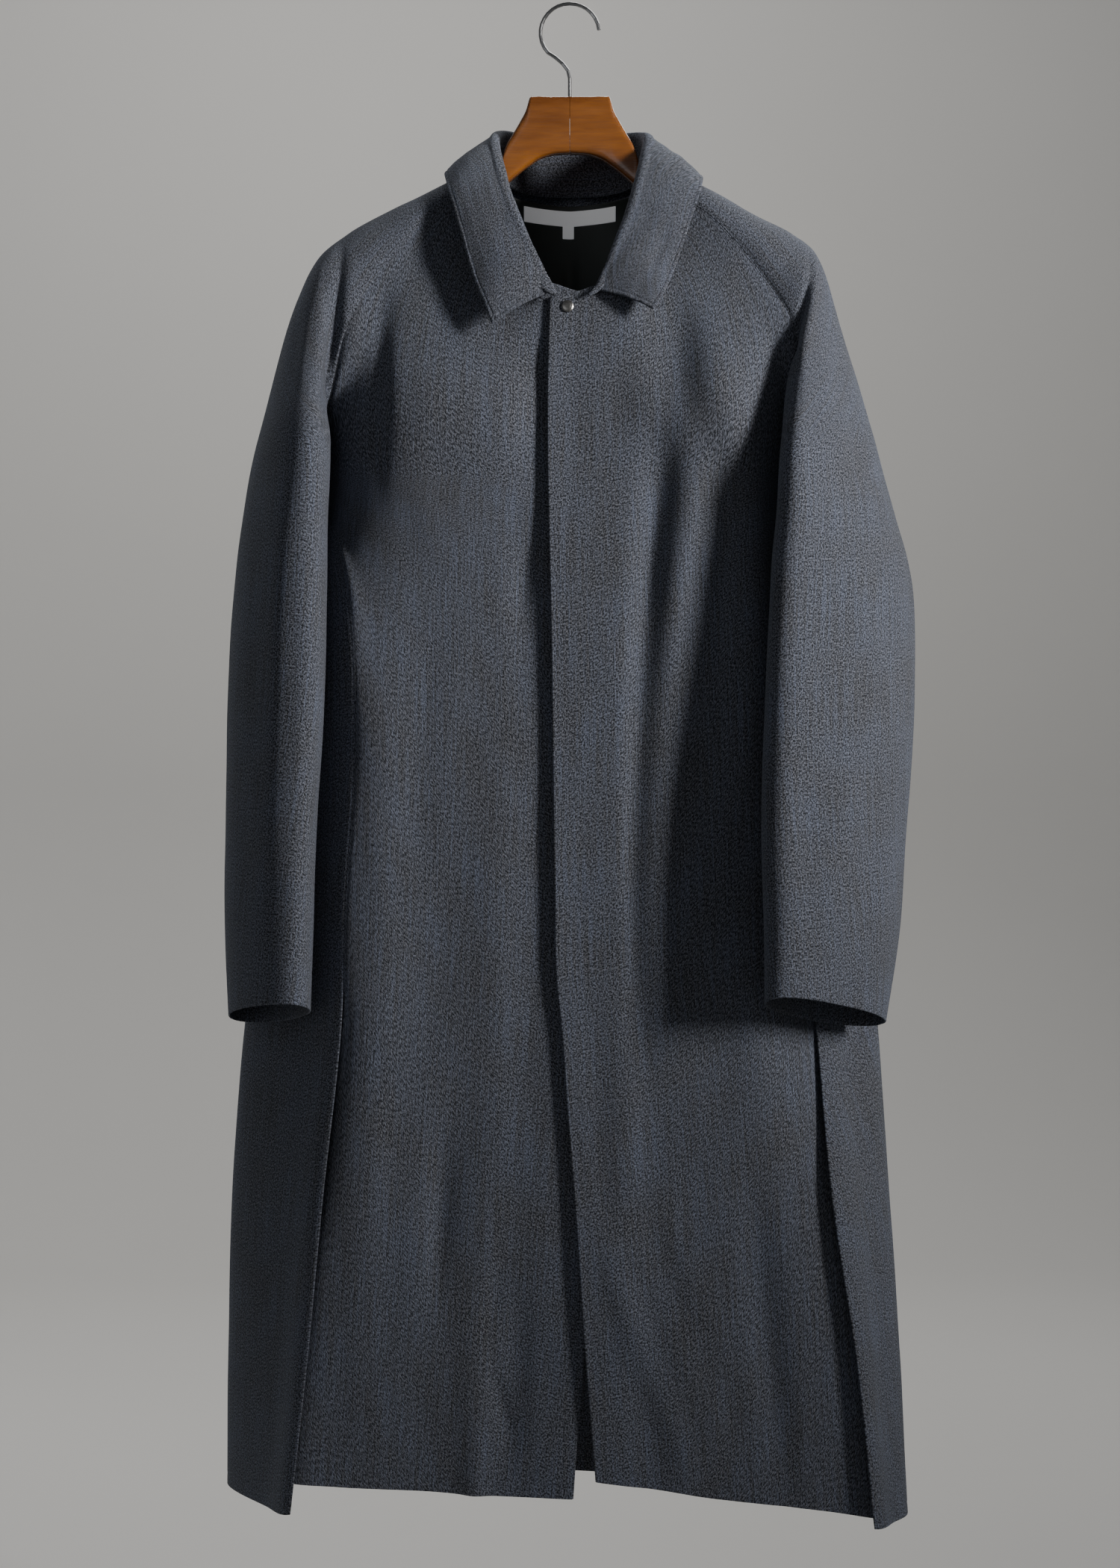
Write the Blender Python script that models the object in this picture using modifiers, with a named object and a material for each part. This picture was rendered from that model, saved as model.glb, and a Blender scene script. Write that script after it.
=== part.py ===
"""A knee-length raglan mac coat that hangs from a two-piece wooden hanger with a wire hook.

+X is the viewer's right, -Y the coat's front, +Z up. The origin is the inside of the hook's top,
where a rail holds it. Shapes are worked out in millimetres and built in metres.
"""

from math import cos, pi, radians, sin

import bmesh
import bpy
import numpy as np
from mathutils import Vector

MM = 0.001

# Walls
CLOTH = 1.6
COLLAR_WALL = 2.6
LINING_WALL = 1.0
TAPE_WALL = 1.0
SEAM = 0.3          # gap between neighbouring pieces at a seam
PAGE = 2.8          # between two sheets that lie on each other

# Stations down the coat, as heights
NECK_Z = -261.0
ARMPIT_Z = -400.0
SLIT_Z = -851.0
HEM_Z = -1250.0

# Hanger and hook
HOOK_WIRE = 3.2
HOOK_RADIUS = 25.0
HOOK_CENTRE_Z = -(HOOK_RADIUS - HOOK_WIRE / 2)
WOOD_TOP_Z = -78.0
SHANK_DEPTH = 18.0

# Snap cap
SNAP_X, SNAP_Z = -2.2, -274.0
SNAP_RADIUS, SNAP_HEIGHT = 5.0, 1.6


def eased(value):
    """0 to 1 with soft ends."""
    value = np.clip(value, 0.0, 1.0)
    return value * value * (3 - 2 * value)


def cubic(keys, values, at):
    """A smooth curve through the values, read at any key."""
    at = np.clip(np.atleast_1d(np.asarray(at, float)), keys[0], keys[-1])
    slopes = np.gradient(values, keys, axis=0)
    i = np.clip(np.searchsorted(keys, at, side="right") - 1, 0, len(keys) - 2)
    width = (keys[i + 1] - keys[i])[:, None]
    t = ((at - keys[i]) / width[:, 0])[:, None]
    return (
        values[i] * (1 + 2 * t) * (1 - t) ** 2
        + slopes[i] * width * t * (1 - t) ** 2
        + values[i + 1] * t * t * (3 - 2 * t)
        + slopes[i + 1] * width * t * t * (t - 1)
    )


class Rows:
    """A table with named columns and one row a section. The first column is the key."""

    def __init__(self, columns, *rows):
        table = np.array(sorted(rows), float)
        self.names = columns.split()
        self.keys = table[:, 0]
        self.table = table

    def at(self, key, *names):
        found = cubic(self.keys, self.table, key)[0]
        picked = [found[self.names.index(name)] for name in names]
        return picked[0] if len(picked) == 1 else np.array(picked)


def curve_through(knots, samples=90):
    """A dense smooth curve through knots that lie unevenly."""
    knots = np.asarray(knots, float)
    steps = np.sqrt(np.linalg.norm(np.diff(knots, axis=0), axis=1))
    keys = np.concatenate([[0.0], np.cumsum(steps)])
    return cubic(keys, knots, np.linspace(0, keys[-1], samples))


def walked(curve, fractions, trim_start=0.0, trim_end=0.0):
    """Points at fractions of a curve's length, with its ends trimmed."""
    lengths = np.concatenate([[0.0], np.cumsum(np.linalg.norm(np.diff(curve, axis=0), axis=1))])
    at = trim_start + np.asarray(fractions) * (lengths[-1] - trim_start - trim_end)
    return np.stack([np.interp(at, lengths, curve[:, k]) for k in range(3)], axis=1)


# ---------------------------------------------------------------- neck and collar

# Angle round the neck seam from the front centre (plus: viewer's right), one half
NECK = Rows(
    "angle x y z",
    (0, 0, -73, -262), (14, 16, -75, -262), (40, 42, -69, -235), (60, 59, -54, -203),
    (75, 67, -38, -179), (90, 70, -15, -152), (103, 69, 5, -138), (120, 64, 24, -141),
    (140, 50, 46, -147), (160, 27, 57, -150), (180, 0, 61, -150),
)

# From the viewer's left front end round the back to the right front end
COLLAR = Rows(
    "row neck_angle roll_x roll_y roll_z edge_x edge_y edge_z",
    (0, -13, -12.6, -79, -257, -63, -93, -287),
    (1, -28, -27, -76, -228, -70, -88, -268),
    (2, -48, -41, -63, -192, -79, -78, -244),
    (3, -66, -51.5, -43, -160, -90, -63, -203),
    (4, -84, -58, -18, -130, -101, -38, -164),
    (5, -103, -60, 3, -110, -105, 4, -142),
    (6, -125, -54, 28, -100, -95, 48, -152),
    (7, -152, -33, 49, -97, -60, 73, -158),
    (8, -180, 1, 56, -96, 1, 81, -159),
    (9, -208, 35, 49, -97, 62, 73, -159),
    (10, -235, 56, 28, -101, 99, 48, -154),
    (11, -257, 63, 3, -111, 111, 5, -145),
    (12, -276, 60, -18, -131, 109, -35, -163),
    (13, -294, 53, -41, -161, 98, -60, -199),
    (14, -312, 43, -61, -196, 84, -77, -241),
    (15, -332, 32, -74, -228, 75, -88, -262),
    (16, -347, 21, -79, -256, 67.6, -93, -275),
)
ROLL_RADIUS = 4.0


def neck_point(angle):
    angle = (angle + 180) % 360 - 180
    side = -1 if angle < 0 else 1
    x, y, z = NECK.at(abs(angle), "x", "y", "z")
    return np.array([side * x + 1.0, y, z])


def collar_section(u):
    """From the neck seam up the stand, over the roll and down the fall."""
    row = 16 * u
    seam = neck_point(COLLAR.at(row, "neck_angle"))
    roll = COLLAR.at(row, "roll_x", "roll_y", "roll_z")
    edge = COLLAR.at(row, "edge_x", "edge_y", "edge_z")
    out = edge - roll
    out[2] = 0
    out /= np.linalg.norm(out)
    up = np.array([0, 0, 1.0])
    front = eased(min(row, 16 - row) / 2.5)
    radius = ROLL_RADIUS * (0.45 + 0.55 * front)
    seam = seam + up * (1.9 * front) - out * (0.4 + 1.6 * front) + [0, -8.2 * (1 - front), 0]
    inner = roll - up * radius
    middle = inner + out * radius
    arc = [middle + radius * (up * sin(a) - out * cos(a)) for a in np.linspace(0.15, pi - 0.15, 9)]
    stand = [seam * (1 - t) + arc[0] * t for t in (0.0, 0.34, 0.68)]
    belly = out * 2.5 + np.array([0, -1.5, 1.0])
    fall = [arc[-1] * (1 - t) + edge * t + belly * 4 * t * (1 - t) for t in (0.2, 0.45, 0.72, 1.0)]
    return np.array(stand + arc + fall)


# ---------------------------------------------------------------- raglan sleeves

# Down each sleeve: the ridge on the hanger, and the front and back raglan seams
RAGLAN = {
    "right": [
        (0, 71, -137, 71, -26, -164, 67, 22, -142),
        (1, 115, -156.5, 108, -34, -180, 106, 31, -172),
        (2, 159, -182, 138, -46, -211, 140, 43, -205),
        (3, 188, -198.5, 165, -59, -250, 168, 54, -246),
        (4, 209, -221, 184, -69, -285, 188, 62, -286),
        (5, 0, 0, 196, -62, -336, 204, 50, -342),
    ],
    "left": [
        (0, -69, -136, -69, -26, -164, -65, 22, -142),
        (1, -109, -155, -107, -34, -180, -105, 31, -172),
        (2, -150, -176.5, -138, -46, -212, -139, 43, -205),
        (3, -186, -197, -165, -60, -250, -167, 54, -247),
        (4, -213, -224, -185, -71, -290, -190, 62, -290),
        (5, 0, 0, -199, -64, -342, -207, 50, -346),
    ],
}
RIDGE_Y = Rows("row y", (0, 3), (1, 0), (2, -4), (3, -9), (4, -14))

# The tube of each sleeve: its outer and inner edges as seen from the front, and its depth
TUBE = {
    "right": Rows(
        "row out_x out_z in_x in_z mid_y half_y skew",
        (3, 188, -198.5, 170, -240, -10, 40, 0),
        (4, 209, -221, 198, -246, -22, 44, 10),
        (5, 229, -280, 182, -308, -37, 57, 25),
        (6, 258, -376, 171, -390, -50, 73, 40),
        (7, 275, -438, 167.5, -446, -57, 70, 43),
        (7.6, 284.5, -475, 163, -484, -62, 68, 43),
        (8.1, 288.5, -508, 161, -514, -66, 67, 43),
        (8.5, 288.5, -550, 158.5, -555, -71, 66, 43),
        (9, 286, -610, 156, -612, -79, 64, 42),
        (10, 278.5, -700, 153.5, -700, -90, 60, 41),
        (11, 272, -780, 155, -775, -98, 55, 40),
        (12, 258.5, -857, 155.6, -836, -103, 49, 39),
    ),
    "left": Rows(
        "row out_x out_z in_x in_z mid_y half_y skew",
        (3, -186, -197, -172, -240, -10, 40, 0),
        (4, -213, -224, -204, -250, -22, 44, 10),
        (5, -237, -278, -200, -308, -37, 60, 25),
        (6, -264, -378, -195, -388, -53, 78, 35),
        (7, -275, -447, -196, -450, -64, 80, 36),
        (8, -281.5, -515, -196.5, -518, -73, 79, 37),
        (9, -285.7, -610, -199, -612, -78, 75, 38),
        (10, -286.4, -700, -204, -700, -81, 69, 38),
        (11, -286, -780, -206.5, -776, -84, 64, 38),
        (12, -282.5, -855, -208.7, -842, -87, 59, 38),
    ),
}
UNDERARM = -75.0    # where the underarm seam lies round the tube, from its inner edge
CUFF_RAISE = 11.0   # the cuff's front is this much higher than its middle, and its back lower
LAST = 12
FOLD_OVER = {"right": (-11, -4, 0), "left": (3, -2, 0)}


def ridge_angle(row):
    """Where the shoulder seam lies round the tube: it turns a little to the back below the tip."""
    return 180 + 15 * eased((row - 4) / 3)


def tube_point(side, row, angle):
    out_x, out_z, in_x, in_z, mid, half, skew = TUBE[side].at(
        row, "out_x", "out_z", "in_x", "in_z", "mid_y", "half_y", "skew"
    )
    a = np.radians(angle)
    inward = (1 + np.cos(a)) / 2
    if side == "right":
        # Pressed flat in front, from a fold along its inner edge
        inward = np.where((a > 0) & (a < pi), inward ** (1 - 0.38 * (1 - eased((a - 1.0) / 1.5))), inward)
    raise_front = CUFF_RAISE * eased((row - 9) / 3)
    return np.stack(
        [
            out_x + (in_x - out_x) * inward,
            mid - half * np.sin(a + radians(skew)),
            out_z + (in_z - out_z) * inward + raise_front * np.sin(a),
        ],
        axis=-1,
    )


def raglan_rows(side):
    """The seam table with the rows where the ridge and the armpit lie on the tube."""
    rows = [list(row) for row in RAGLAN[side]]
    armpit = tube_point(side, 6, UNDERARM)
    for row in (5, 6):
        ridge = tube_point(side, row, ridge_angle(row))
        if row == 6:
            rows.append([6, 0, 0, *armpit, *armpit])
        rows[row][1:3] = [ridge[0], ridge[2]]
    rows = [[*row, RIDGE_Y.at(row[0], "y")] for row in rows]
    for row in (5, 6):
        rows[row][-1] = tube_point(side, row, ridge_angle(row))[1]
    return Rows("row ridge_x ridge_z front_x front_y front_z back_x back_y back_z ridge_y", *rows)


SEAMS = {side: raglan_rows(side) for side in RAGLAN}


def raglan_seam(side, row, face):
    return SEAMS[side].at(row, face + "_x", face + "_y", face + "_z")


def sleeve_arc(side, row, face, samples=60):
    """Half of the sleeve's section, from its front or back seam to the shoulder seam."""
    t = np.linspace(0, 1, samples)
    start = UNDERARM if face == "front" else 360 + UNDERARM
    turn = 1 if face == "front" else -1
    first = start + turn * 95 * (1 - eased((row - 3.5) / 2.5))
    angles = first + (ridge_angle(row) - first) * t
    tube = tube_point(side, max(row, 3), angles)
    if row >= 6:
        return tube
    seam = raglan_seam(side, row, face)
    ridge = SEAMS[side].at(row, "ridge_x", "ridge_y", "ridge_z")
    a = (1 - t) * pi / 2
    quarter = ridge + (seam - ridge) * np.stack([1 - np.cos(a), np.sin(a), 1 - np.cos(a)], axis=1)
    tube = tube + (seam - tube[0]) * ((1 - t) ** 3)[:, None] + (ridge - tube[-1]) * (t**3)[:, None]
    share = eased((row - 3) / 3)
    curve = quarter * (1 - share) + tube * share
    if face == "front":
        # The sleeve folds over its own seam above the armpit
        fold = eased((row - 4.1) / 0.9) * eased((6 - row) / 0.9) * (t / 0.17) * np.exp(1 - t / 0.17)
        curve = curve + np.outer(fold, FOLD_OVER[side])
    return curve


# ---------------------------------------------------------------- body

# Down the centre: the top front's edge, the front's depth there and 100 mm out, the back's depth
CENTRE = Rows(
    "z edge_y front_y back_y",
    (-262, -74, -72, 61), (-300, -80, -78, 72), (-400, -89, -88, 84), (-510, -92, -90, 88),
    (-640, -94, -92, 90), (-760, -96, -93, 91), (-850, -97, -94, 92), (-1000, -98, -95, 93),
    (-1130, -99, -96, 95), (-1250, -98, -96, 97),
)
TOP_EDGE = Rows(
    "z x",
    (-262, -16), (-305, -17.4), (-571, -14.4), (-753, -12), (-822, -10.5), (-860, -6.5),
    (-924, -2), (-998, 4), (-1144, 13), (-1250, 21),
)
UNDER_EDGE = Rows(
    "z x", (-262, 36), (-700, 34), (-850, 28), (-1000, 18), (-1144, 10), (-1200, 5.5), (-1250, 2)
)

# Round each side, front to back: front corner, side seam (below the slit top: the flap's edge),
# side, outermost point and rear corner
SIDE = {
    "right": Rows(
        "z corner_x corner_y seam_x seam_y side_x side_y wing_x wing_y rear_x rear_y",
        (-400, 150, -83, 195, 3, 203, 20, 209, 38, 178, 76),
        (-450, 153, -89, 186, -27, 205, -2, 224, 36, 184, 80),
        (-510, 156, -91, 177, -56, 201, -26, 237, 28, 190, 84),
        (-640, 152, -91, 182, -60, 204, -36, 248, 12, 200, 86),
        (-760, 150, -89, 190, -62, 212, -40, 256, 4, 208, 88),
        (-851, 156, -91, 202, -62, 224, -42, 261, -4, 214, 90),
        (-1000, 172, -95, 213, -97, 238, -72, 268, -24, 222, 90),
        (-1130, 188, -97, 233, -105, 253, -78, 276, -32, 228, 90),
        (-1250, 205, -98, 245.5, -110, 265, -80, 281, -40, 234, 90),
    ),
    "left": Rows(
        "z corner_x corner_y seam_x seam_y side_x side_y wing_x wing_y rear_x rear_y",
        (-400, -160, -80, -220, 5, -222, 21, -223, 40, -182, 76),
        (-450, -164, -87, -196, -52, -213, -18, -231, 34, -188, 80),
        (-510, -163, -93, -182, -83, -204, -58, -239, 28, -194, 84),
        (-640, -158, -95, -176, -89, -202, -67, -253, 28, -204, 88),
        (-760, -161, -97, -183, -91, -208, -68, -265, 26, -212, 90),
        (-851, -164, -98, -186, -92, -211, -66, -277, 24, -220, 92),
        (-1000, -172, -98, -201, -100, -226, -74, -289, 24, -232, 94),
        (-1130, -180, -98, -213, -106, -238, -72, -292, 27, -238, 96),
        (-1250, -187, -98, -226, -111, -250, -70, -292, 30, -242, 98),
    ),
}
TUCK_OUT = 5.0      # below the slit top a front reaches this far behind the flap
TUCK_BACK = 16.0    # and lies this far behind it

# The hem's height above or below HEM_Z, at each piece's start, middle and end
HEM = {
    "front_left": (23, 9, -8),
    "front_right": (8, 14, 22),
    "back": (0, -23, -12),
}

# Large soft folds: where each starts, passes and ends, how wide and how deep it is
FOLDS = {
    "front_left": Rows(
        "number top_x top_z mid_x mid_z end_x end_z width depth",
        (1, 98, -285, 61, -520, 43, -830, 14, 7),
        (2, 119, -285, 83, -520, 63, -830, 15, -6),
        (3, 126, -400, 123, -480, 118, -570, 9, 2.5),
        (4, 56, -1030, 92, -1105, 128, -1190, 16, -6),
        (5, 150, -1010, 160, -1110, 176, -1240, 14, 5),
    ),
    "front_right": Rows(
        "number top_x top_z mid_x mid_z end_x end_z width depth",
        (1, -156, -250, -157, -360, -156, -500, 9, 4.5),
        (2, -32, -445, -35, -492, -37, -545, 11, 3.5),
        (3, -92, -955, -104, -1010, -96, -1075, 15, 5),
        (4, -52, -1090, -45, -1150, -43, -1205, 12, 6),
        (5, -84, -1160, -80, -1210, -78, -1262, 10, -5),
    ),
    "back": Rows(
        "number top_x top_z mid_x mid_z end_x end_z width depth",
        (1, -118, -300, -104, -620, -120, -1150, 26, -10),
        (2, 112, -320, 100, -640, 116, -1180, 26, -10),
        (3, 8, -420, 4, -800, -6, -1262, 24, -6),
    ),
}


def fold_depth(piece, x, z):
    """How far the folds push a point to the back."""
    total = np.zeros_like(x)
    for fold in FOLDS[piece].table:
        _, top_x, top_z, mid_x, mid_z, end_x, end_z, width, depth = fold
        t = np.clip((z - top_z) / (end_z - top_z), 0, 1)
        m = (mid_z - top_z) / (end_z - top_z)
        path = top_x * (1 - t) * (1 - t / m) + mid_x * t * (1 - t) / (m * (1 - m))
        path += end_x * t * (t - m) / (1 - m)
        fade = eased((z - end_z) / 60 + 0.5) if end_z > HEM_Z else 1.0
        fade = fade * eased((top_z - z) / 60 + 0.5)
        total += depth * fade * np.exp(-(((x - path) / width) ** 2))
    return total


def near_edge(z, top):
    """How far the two fronts part where they lap."""
    return 0.5 * PAGE + 0.6 if top else -(0.5 * PAGE + 0.6)


def edge_point(top, z):
    x = (TOP_EDGE if top else UNDER_EDGE).at(z, "x")
    return np.array([x, CENTRE.at(z, "edge_y"), z])


def ring_knots(side, z, cut):
    """The side's knots from the front corner to the rear corner. cut: which edge of the slit."""
    at = SIDE[side].at
    out = 1 if side == "right" else -1
    seam = at(z, "seam_x", "seam_y")
    side_point = at(z, "side_x", "side_y")
    if cut == "front":
        back_off = eased((-828 - z) / 110)
        out_off = eased((-856 - z) / 90)
        seam = seam + [out * TUCK_OUT * out_off, TUCK_BACK * back_off]
        side_point = side_point + [out * TUCK_OUT * out_off, (TUCK_BACK + 20) * back_off]
        seam = seam - [out * 2.0 * np.exp(-(((z + 842) / 20) ** 2)), 0]
    knots = [at(z, "corner_x", "corner_y"), seam, side_point]
    knots += [at(z, "wing_x", "wing_y"), at(z, "rear_x", "rear_y")]
    return [np.array([x, y, z]) for x, y in knots]


def cut_at(curve, point):
    """The curve up to its sample nearest to the point, ending on that point."""
    near = np.argmin(np.linalg.norm(curve - point, axis=1))
    return np.vstack([curve[: max(near, 1)], point])


def quarter_row(start, end, corner, flat, samples=90):
    """From the centre to a raglan seam: rounded in front view, and flat until it turns back."""
    s = np.linspace(0, 1, samples)
    across = s * (1 - corner) + np.sin(s * pi / 2) * corner
    rise = s * (1 - corner) + (1 - np.cos(s * pi / 2)) * corner
    return np.stack(
        [
            start[0] + (end[0] - start[0]) * across,
            start[1] + (end[1] - start[1]) * across**flat,
            start[2] + (end[2] - start[2]) * rise,
        ],
        axis=1,
    )


TOP_SHARE = 0.32    # share of a body piece's rows that lie above the armpit


NECK_RISE = 3.0


def body_row(v):
    """(row of the raglan seam, or None) and the height of a row of the body."""
    if v < TOP_SHARE:
        return 6 * v / TOP_SHARE, ARMPIT_Z
    down = (v - TOP_SHARE) / (1 - TOP_SHARE)
    return None, ARMPIT_Z + (HEM_Z - ARMPIT_Z) * down


class Panel:
    """A panel from its sections, eased down its length so that no single row stands out."""

    def __init__(self, section, rows=100, samples=120, passes=36):
        self.rows = np.linspace(0, 1, rows + 1)
        share = np.linspace(0, 1, samples)
        grid = np.array([walked(section(v), share) for v in self.rows])
        free = (eased(share / 0.12) * eased((1 - share) / 0.12))[:, None]
        for _ in range(passes):
            grid[1:-1] += 0.5 * free * ((grid[:-2] + grid[2:]) / 2 - grid[1:-1])
        self.samples = samples
        self.grid = grid.reshape(rows + 1, -1)

    def at(self, v):
        return cubic(self.rows, self.grid, v)[0].reshape(self.samples, 3)


def front_section(v, side):
    """A front from its centre edge to the raglan seam, the side seam or the slit."""
    piece = "front_left" if side == "right" else "front_right"
    top = side == "right"
    out = 1 if side == "right" else -1
    row, z = body_row(v)
    armpit_knots = ring_knots(side, ARMPIT_Z, "front")

    def level(height):
        knots = ring_knots(side, height, "front")
        front_y = CENTRE.at(height, "front_y")
        chest = [np.array([out * x, front_y, height]) for x in (50, 85, 115)]
        curve = curve_through([edge_point(top, height)] + chest + knots[:3])
        return cut_at(curve, knots[1])

    if row is None:
        curve = level(z)
    else:
        share = row / 6
        start = edge_point(top, NECK_Z + (ARMPIT_Z - NECK_Z) * share)
        end = raglan_seam(side, row, "front")
        lapped = eased((row - 3.6) / 1.6)
        end = end + np.array([-out * 2.0, PAGE + 1.0, 0]) * lapped
        end = end + (armpit_knots[1] - end) * eased((row - 5) / 1.0)
        curve = quarter_row(start, end, 1 - 0.75 * share, 2.0 + 8.0 * share**2)
        if row > 3.5:
            straight = level(ARMPIT_Z)
            near = walked(straight, np.linspace(0, 1, 90))
            s = np.linspace(0, 1, 90)[:, None]
            near = near + (start - near[0]) * (1 - s) + (end - near[-1]) * s
            share = eased((row - 3.5) / 2.5)
            curve = walked(curve, np.linspace(0, 1, 90)) * (1 - share) + near * share
    curve = curve.copy()
    lapped = 1 - eased((np.abs(curve[:, 0] - 9) - 28) / 30)
    curve[:, 1] = curve[:, 1] * (1 - lapped) + cubic(CENTRE.keys, CENTRE.table, curve[:, 2])[:, 1] * lapped
    clear = eased((curve[:, 0] - 38) / 22) if top else eased((-18 - curve[:, 0]) / 20)
    curve[:, 1] += fold_depth(piece, curve[:, 0], curve[:, 2]) * clear
    lap = eased(1.9 - np.abs(curve[:, 0] - 10) / 34)
    curve[:, 1] -= near_edge(z, top) * lap
    start, middle, end = HEM[piece]
    s = np.linspace(0, 1, len(curve))
    hem = start * (1 - s) * (1 - 2 * s) + middle * 4 * s * (1 - s) + end * s * (2 * s - 1)
    curve[:, 2] += hem * eased((-960 - curve[:, 2]) / 290)
    if row is not None:
        # The neck edge is cut straight where it shows between the collar's ends
        curve[:, 2] += NECK_RISE * eased(1 - row / 0.8) * eased((23 - np.abs(curve[:, 0] - 3)) / 11)
    return curve


FRONT = {side: Panel(lambda v, side=side: front_section(v, side)) for side in ("right", "left")}


def back_section(v):
    """The back from the left side, round the back, to the right side."""
    row, z = body_row(v)
    halves = []

    def half(side, height):
        knots = ring_knots(side, height, "flap")
        middle = np.array([0.0, CENTRE.at(height, "back_y"), height])
        quarter = (knots[4] + middle) / 2 + [0, 3.0, 0]
        corner = knots[0]
        curve = curve_through([corner, *knots[1:], quarter, middle, middle * [1, 1, 1]][:-1], 140)
        near = np.argmin(np.linalg.norm(curve - knots[1], axis=1))
        return np.vstack([knots[1], curve[near + 1:]])

    for side in ("left", "right"):
        if row is None:
            curve = half(side, z)
        else:
            share = row / 6
            height = -150 + (ARMPIT_Z + 150) * share
            middle = CENTRE.at(max(height, -400), "back_y") if height < -262 else None
            if middle is None:
                middle = 61 + (CENTRE.at(-300, "back_y") - 61) * ((-150 - height) / 150)
            start = np.array([0.0, middle, height])
            end = raglan_seam(side, row, "back")
            inward = 1 if side == "left" else -1
            end = end + np.array([inward * PAGE, 0, 0]) * eased((row - 3.3) / 1.3)
            armpit = ring_knots(side, ARMPIT_Z, "flap")[1]
            end = end + (armpit - end) * eased((row - 5) / 1.0)
            curve = quarter_row(start, end, 0.5 - 0.4 * share, 2.2 + 1.6 * share)[::-1]
            curve = walked(curve, np.linspace(0, 1, 140))
            if row > 3.0:
                near = walked(half(side, ARMPIT_Z), np.linspace(0, 1, 140))
                s = np.linspace(0, 1, 140)[:, None]
                near = near + (end - near[0]) * (1 - s) + (start - near[-1]) * s
                share = eased((row - 3.0) / 3.0)
                curve = curve * (1 - share) + near * share
        halves.append(curve)
    curve = np.vstack([halves[0], halves[1][::-1][1:]])
    rear = eased(curve[:, 1] / 40)
    curve[:, 1] -= fold_depth("back", curve[:, 0], curve[:, 2]) * rear
    start, middle, end = HEM["back"]
    s = np.linspace(0, 1, len(curve))
    hem = start * (1 - s) * (1 - 2 * s) + middle * 4 * s * (1 - s) + end * s * (2 * s - 1)
    curve[:, 2] += hem * eased((-960 - curve[:, 2]) / 290)
    return curve


BACK = Panel(back_section, samples=240)


# ---------------------------------------------------------------- building

def material(name, colour, roughness, metallic=0.0):
    made = bpy.data.materials.new(name)
    made.use_nodes = True
    shader = made.node_tree.nodes["Principled BSDF"]
    shader.inputs["Base Color"].default_value = (*colour, 1.0)
    shader.inputs["Roughness"].default_value = roughness
    shader.inputs["Metallic"].default_value = metallic
    made.diffuse_color = (*colour, 1.0)
    return made


def place(obj, name, finish):
    obj.name = name
    obj.data.name = name
    obj.data.materials.clear()
    obj.data.materials.append(finish)
    for collection in list(obj.users_collection):
        collection.objects.unlink(obj)
    coat.objects.link(obj)
    return obj


def cloth(name, section, columns, rows, finish, wall=CLOTH, trim=(0.15, 0.15), ends=(0.0, 1.0)):
    """A cloth wall: a grid laid on the section of each row, then given its thickness."""
    grid = bmesh.new()
    bmesh.ops.create_grid(grid, x_segments=columns, y_segments=rows, size=0.5)
    levels = {}
    for vertex in grid.verts:
        levels.setdefault(round(vertex.co.y + 0.5, 5), []).append(vertex)
    for level, line in levels.items():
        curve = section(ends[0] + (ends[1] - ends[0]) * level)
        line.sort(key=lambda vertex: vertex.co.x)
        points = walked(curve, [vertex.co.x + 0.5 for vertex in line], *trim)
        for vertex, point in zip(line, points):
            vertex.co = point * MM
    mesh = bpy.data.meshes.new(name)
    grid.to_mesh(mesh)
    grid.free()
    mesh.shade_smooth()
    obj = bpy.data.objects.new(name, mesh)
    coat.objects.link(obj)
    place(obj, name, finish)
    wall_modifier = obj.modifiers.new("Wall", "SOLIDIFY")
    wall_modifier.thickness = wall * MM
    wall_modifier.offset = 0.0
    wall_modifier.use_even_offset = False
    return obj


for old in list(bpy.data.objects):
    bpy.data.objects.remove(old, do_unlink=True)

coat = bpy.data.collections.new("Mac coat on hanger")
bpy.context.scene.collection.children.link(coat)

melange = material("Melange wool", (0.075, 0.085, 0.10), 0.9)
dark_lining = material("Lining", (0.012, 0.016, 0.015), 0.6)
white_tape = material("Label tape", (0.80, 0.79, 0.76), 0.7)
nickel = material("Nickel", (0.42, 0.42, 0.43), 0.35, 1.0)
varnished = material("Varnished wood", (0.36, 0.15, 0.05), 0.3)
wire = material("Hook wire", (0.62, 0.60, 0.57), 0.25, 1.0)

# Fronts, back and sleeves
BODY_ROWS, BACK_COLUMNS, BACK_START = 26, 34, 0.01
FRONT_START = 0.008
SLEEVE_ROWS, SLEEVE_START = 25, 0.004
cloth("front_left", FRONT["right"].at, 19, BODY_ROWS, melange, trim=(0, 0.6), ends=(FRONT_START, 1))
cloth("front_right", FRONT["left"].at, 17, BODY_ROWS, melange, trim=(0, 0.6), ends=(FRONT_START, 1))
cloth("back", BACK.at, BACK_COLUMNS, BODY_ROWS, melange, trim=(0.3, 0.3), ends=(BACK_START, 1))
for side, worn in (("right", "left"), ("left", "right")):
    for face, columns in (("front", 12), ("back", 7)):
        cloth(
            f"sleeve_{face}_{worn}",
            lambda v, side=side, face=face: sleeve_arc(side, LAST * v, face),
            columns, SLEEVE_ROWS, melange, trim=(0.5, 0.45), ends=(SLEEVE_START, 1),
        )

# Collar: laid from front end to front end, section by section
cloth("collar", collar_section, 14, 24, melange, wall=COLLAR_WALL, trim=(0, 0))


def lifted(section, v, distance, samples=90):
    """A section moved off its panel: plus goes outside on the back and right front, inside on the left."""
    step = 0.004
    fractions = np.linspace(0, 1, samples)
    here = walked(section(v), fractions)
    down = walked(section(min(v + step, 1)), fractions) - walked(section(max(v - step, 0)), fractions)
    normal = np.cross(np.gradient(here, axis=0), down)
    normal /= np.linalg.norm(normal, axis=1)[:, None]
    return here + normal * distance


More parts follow.
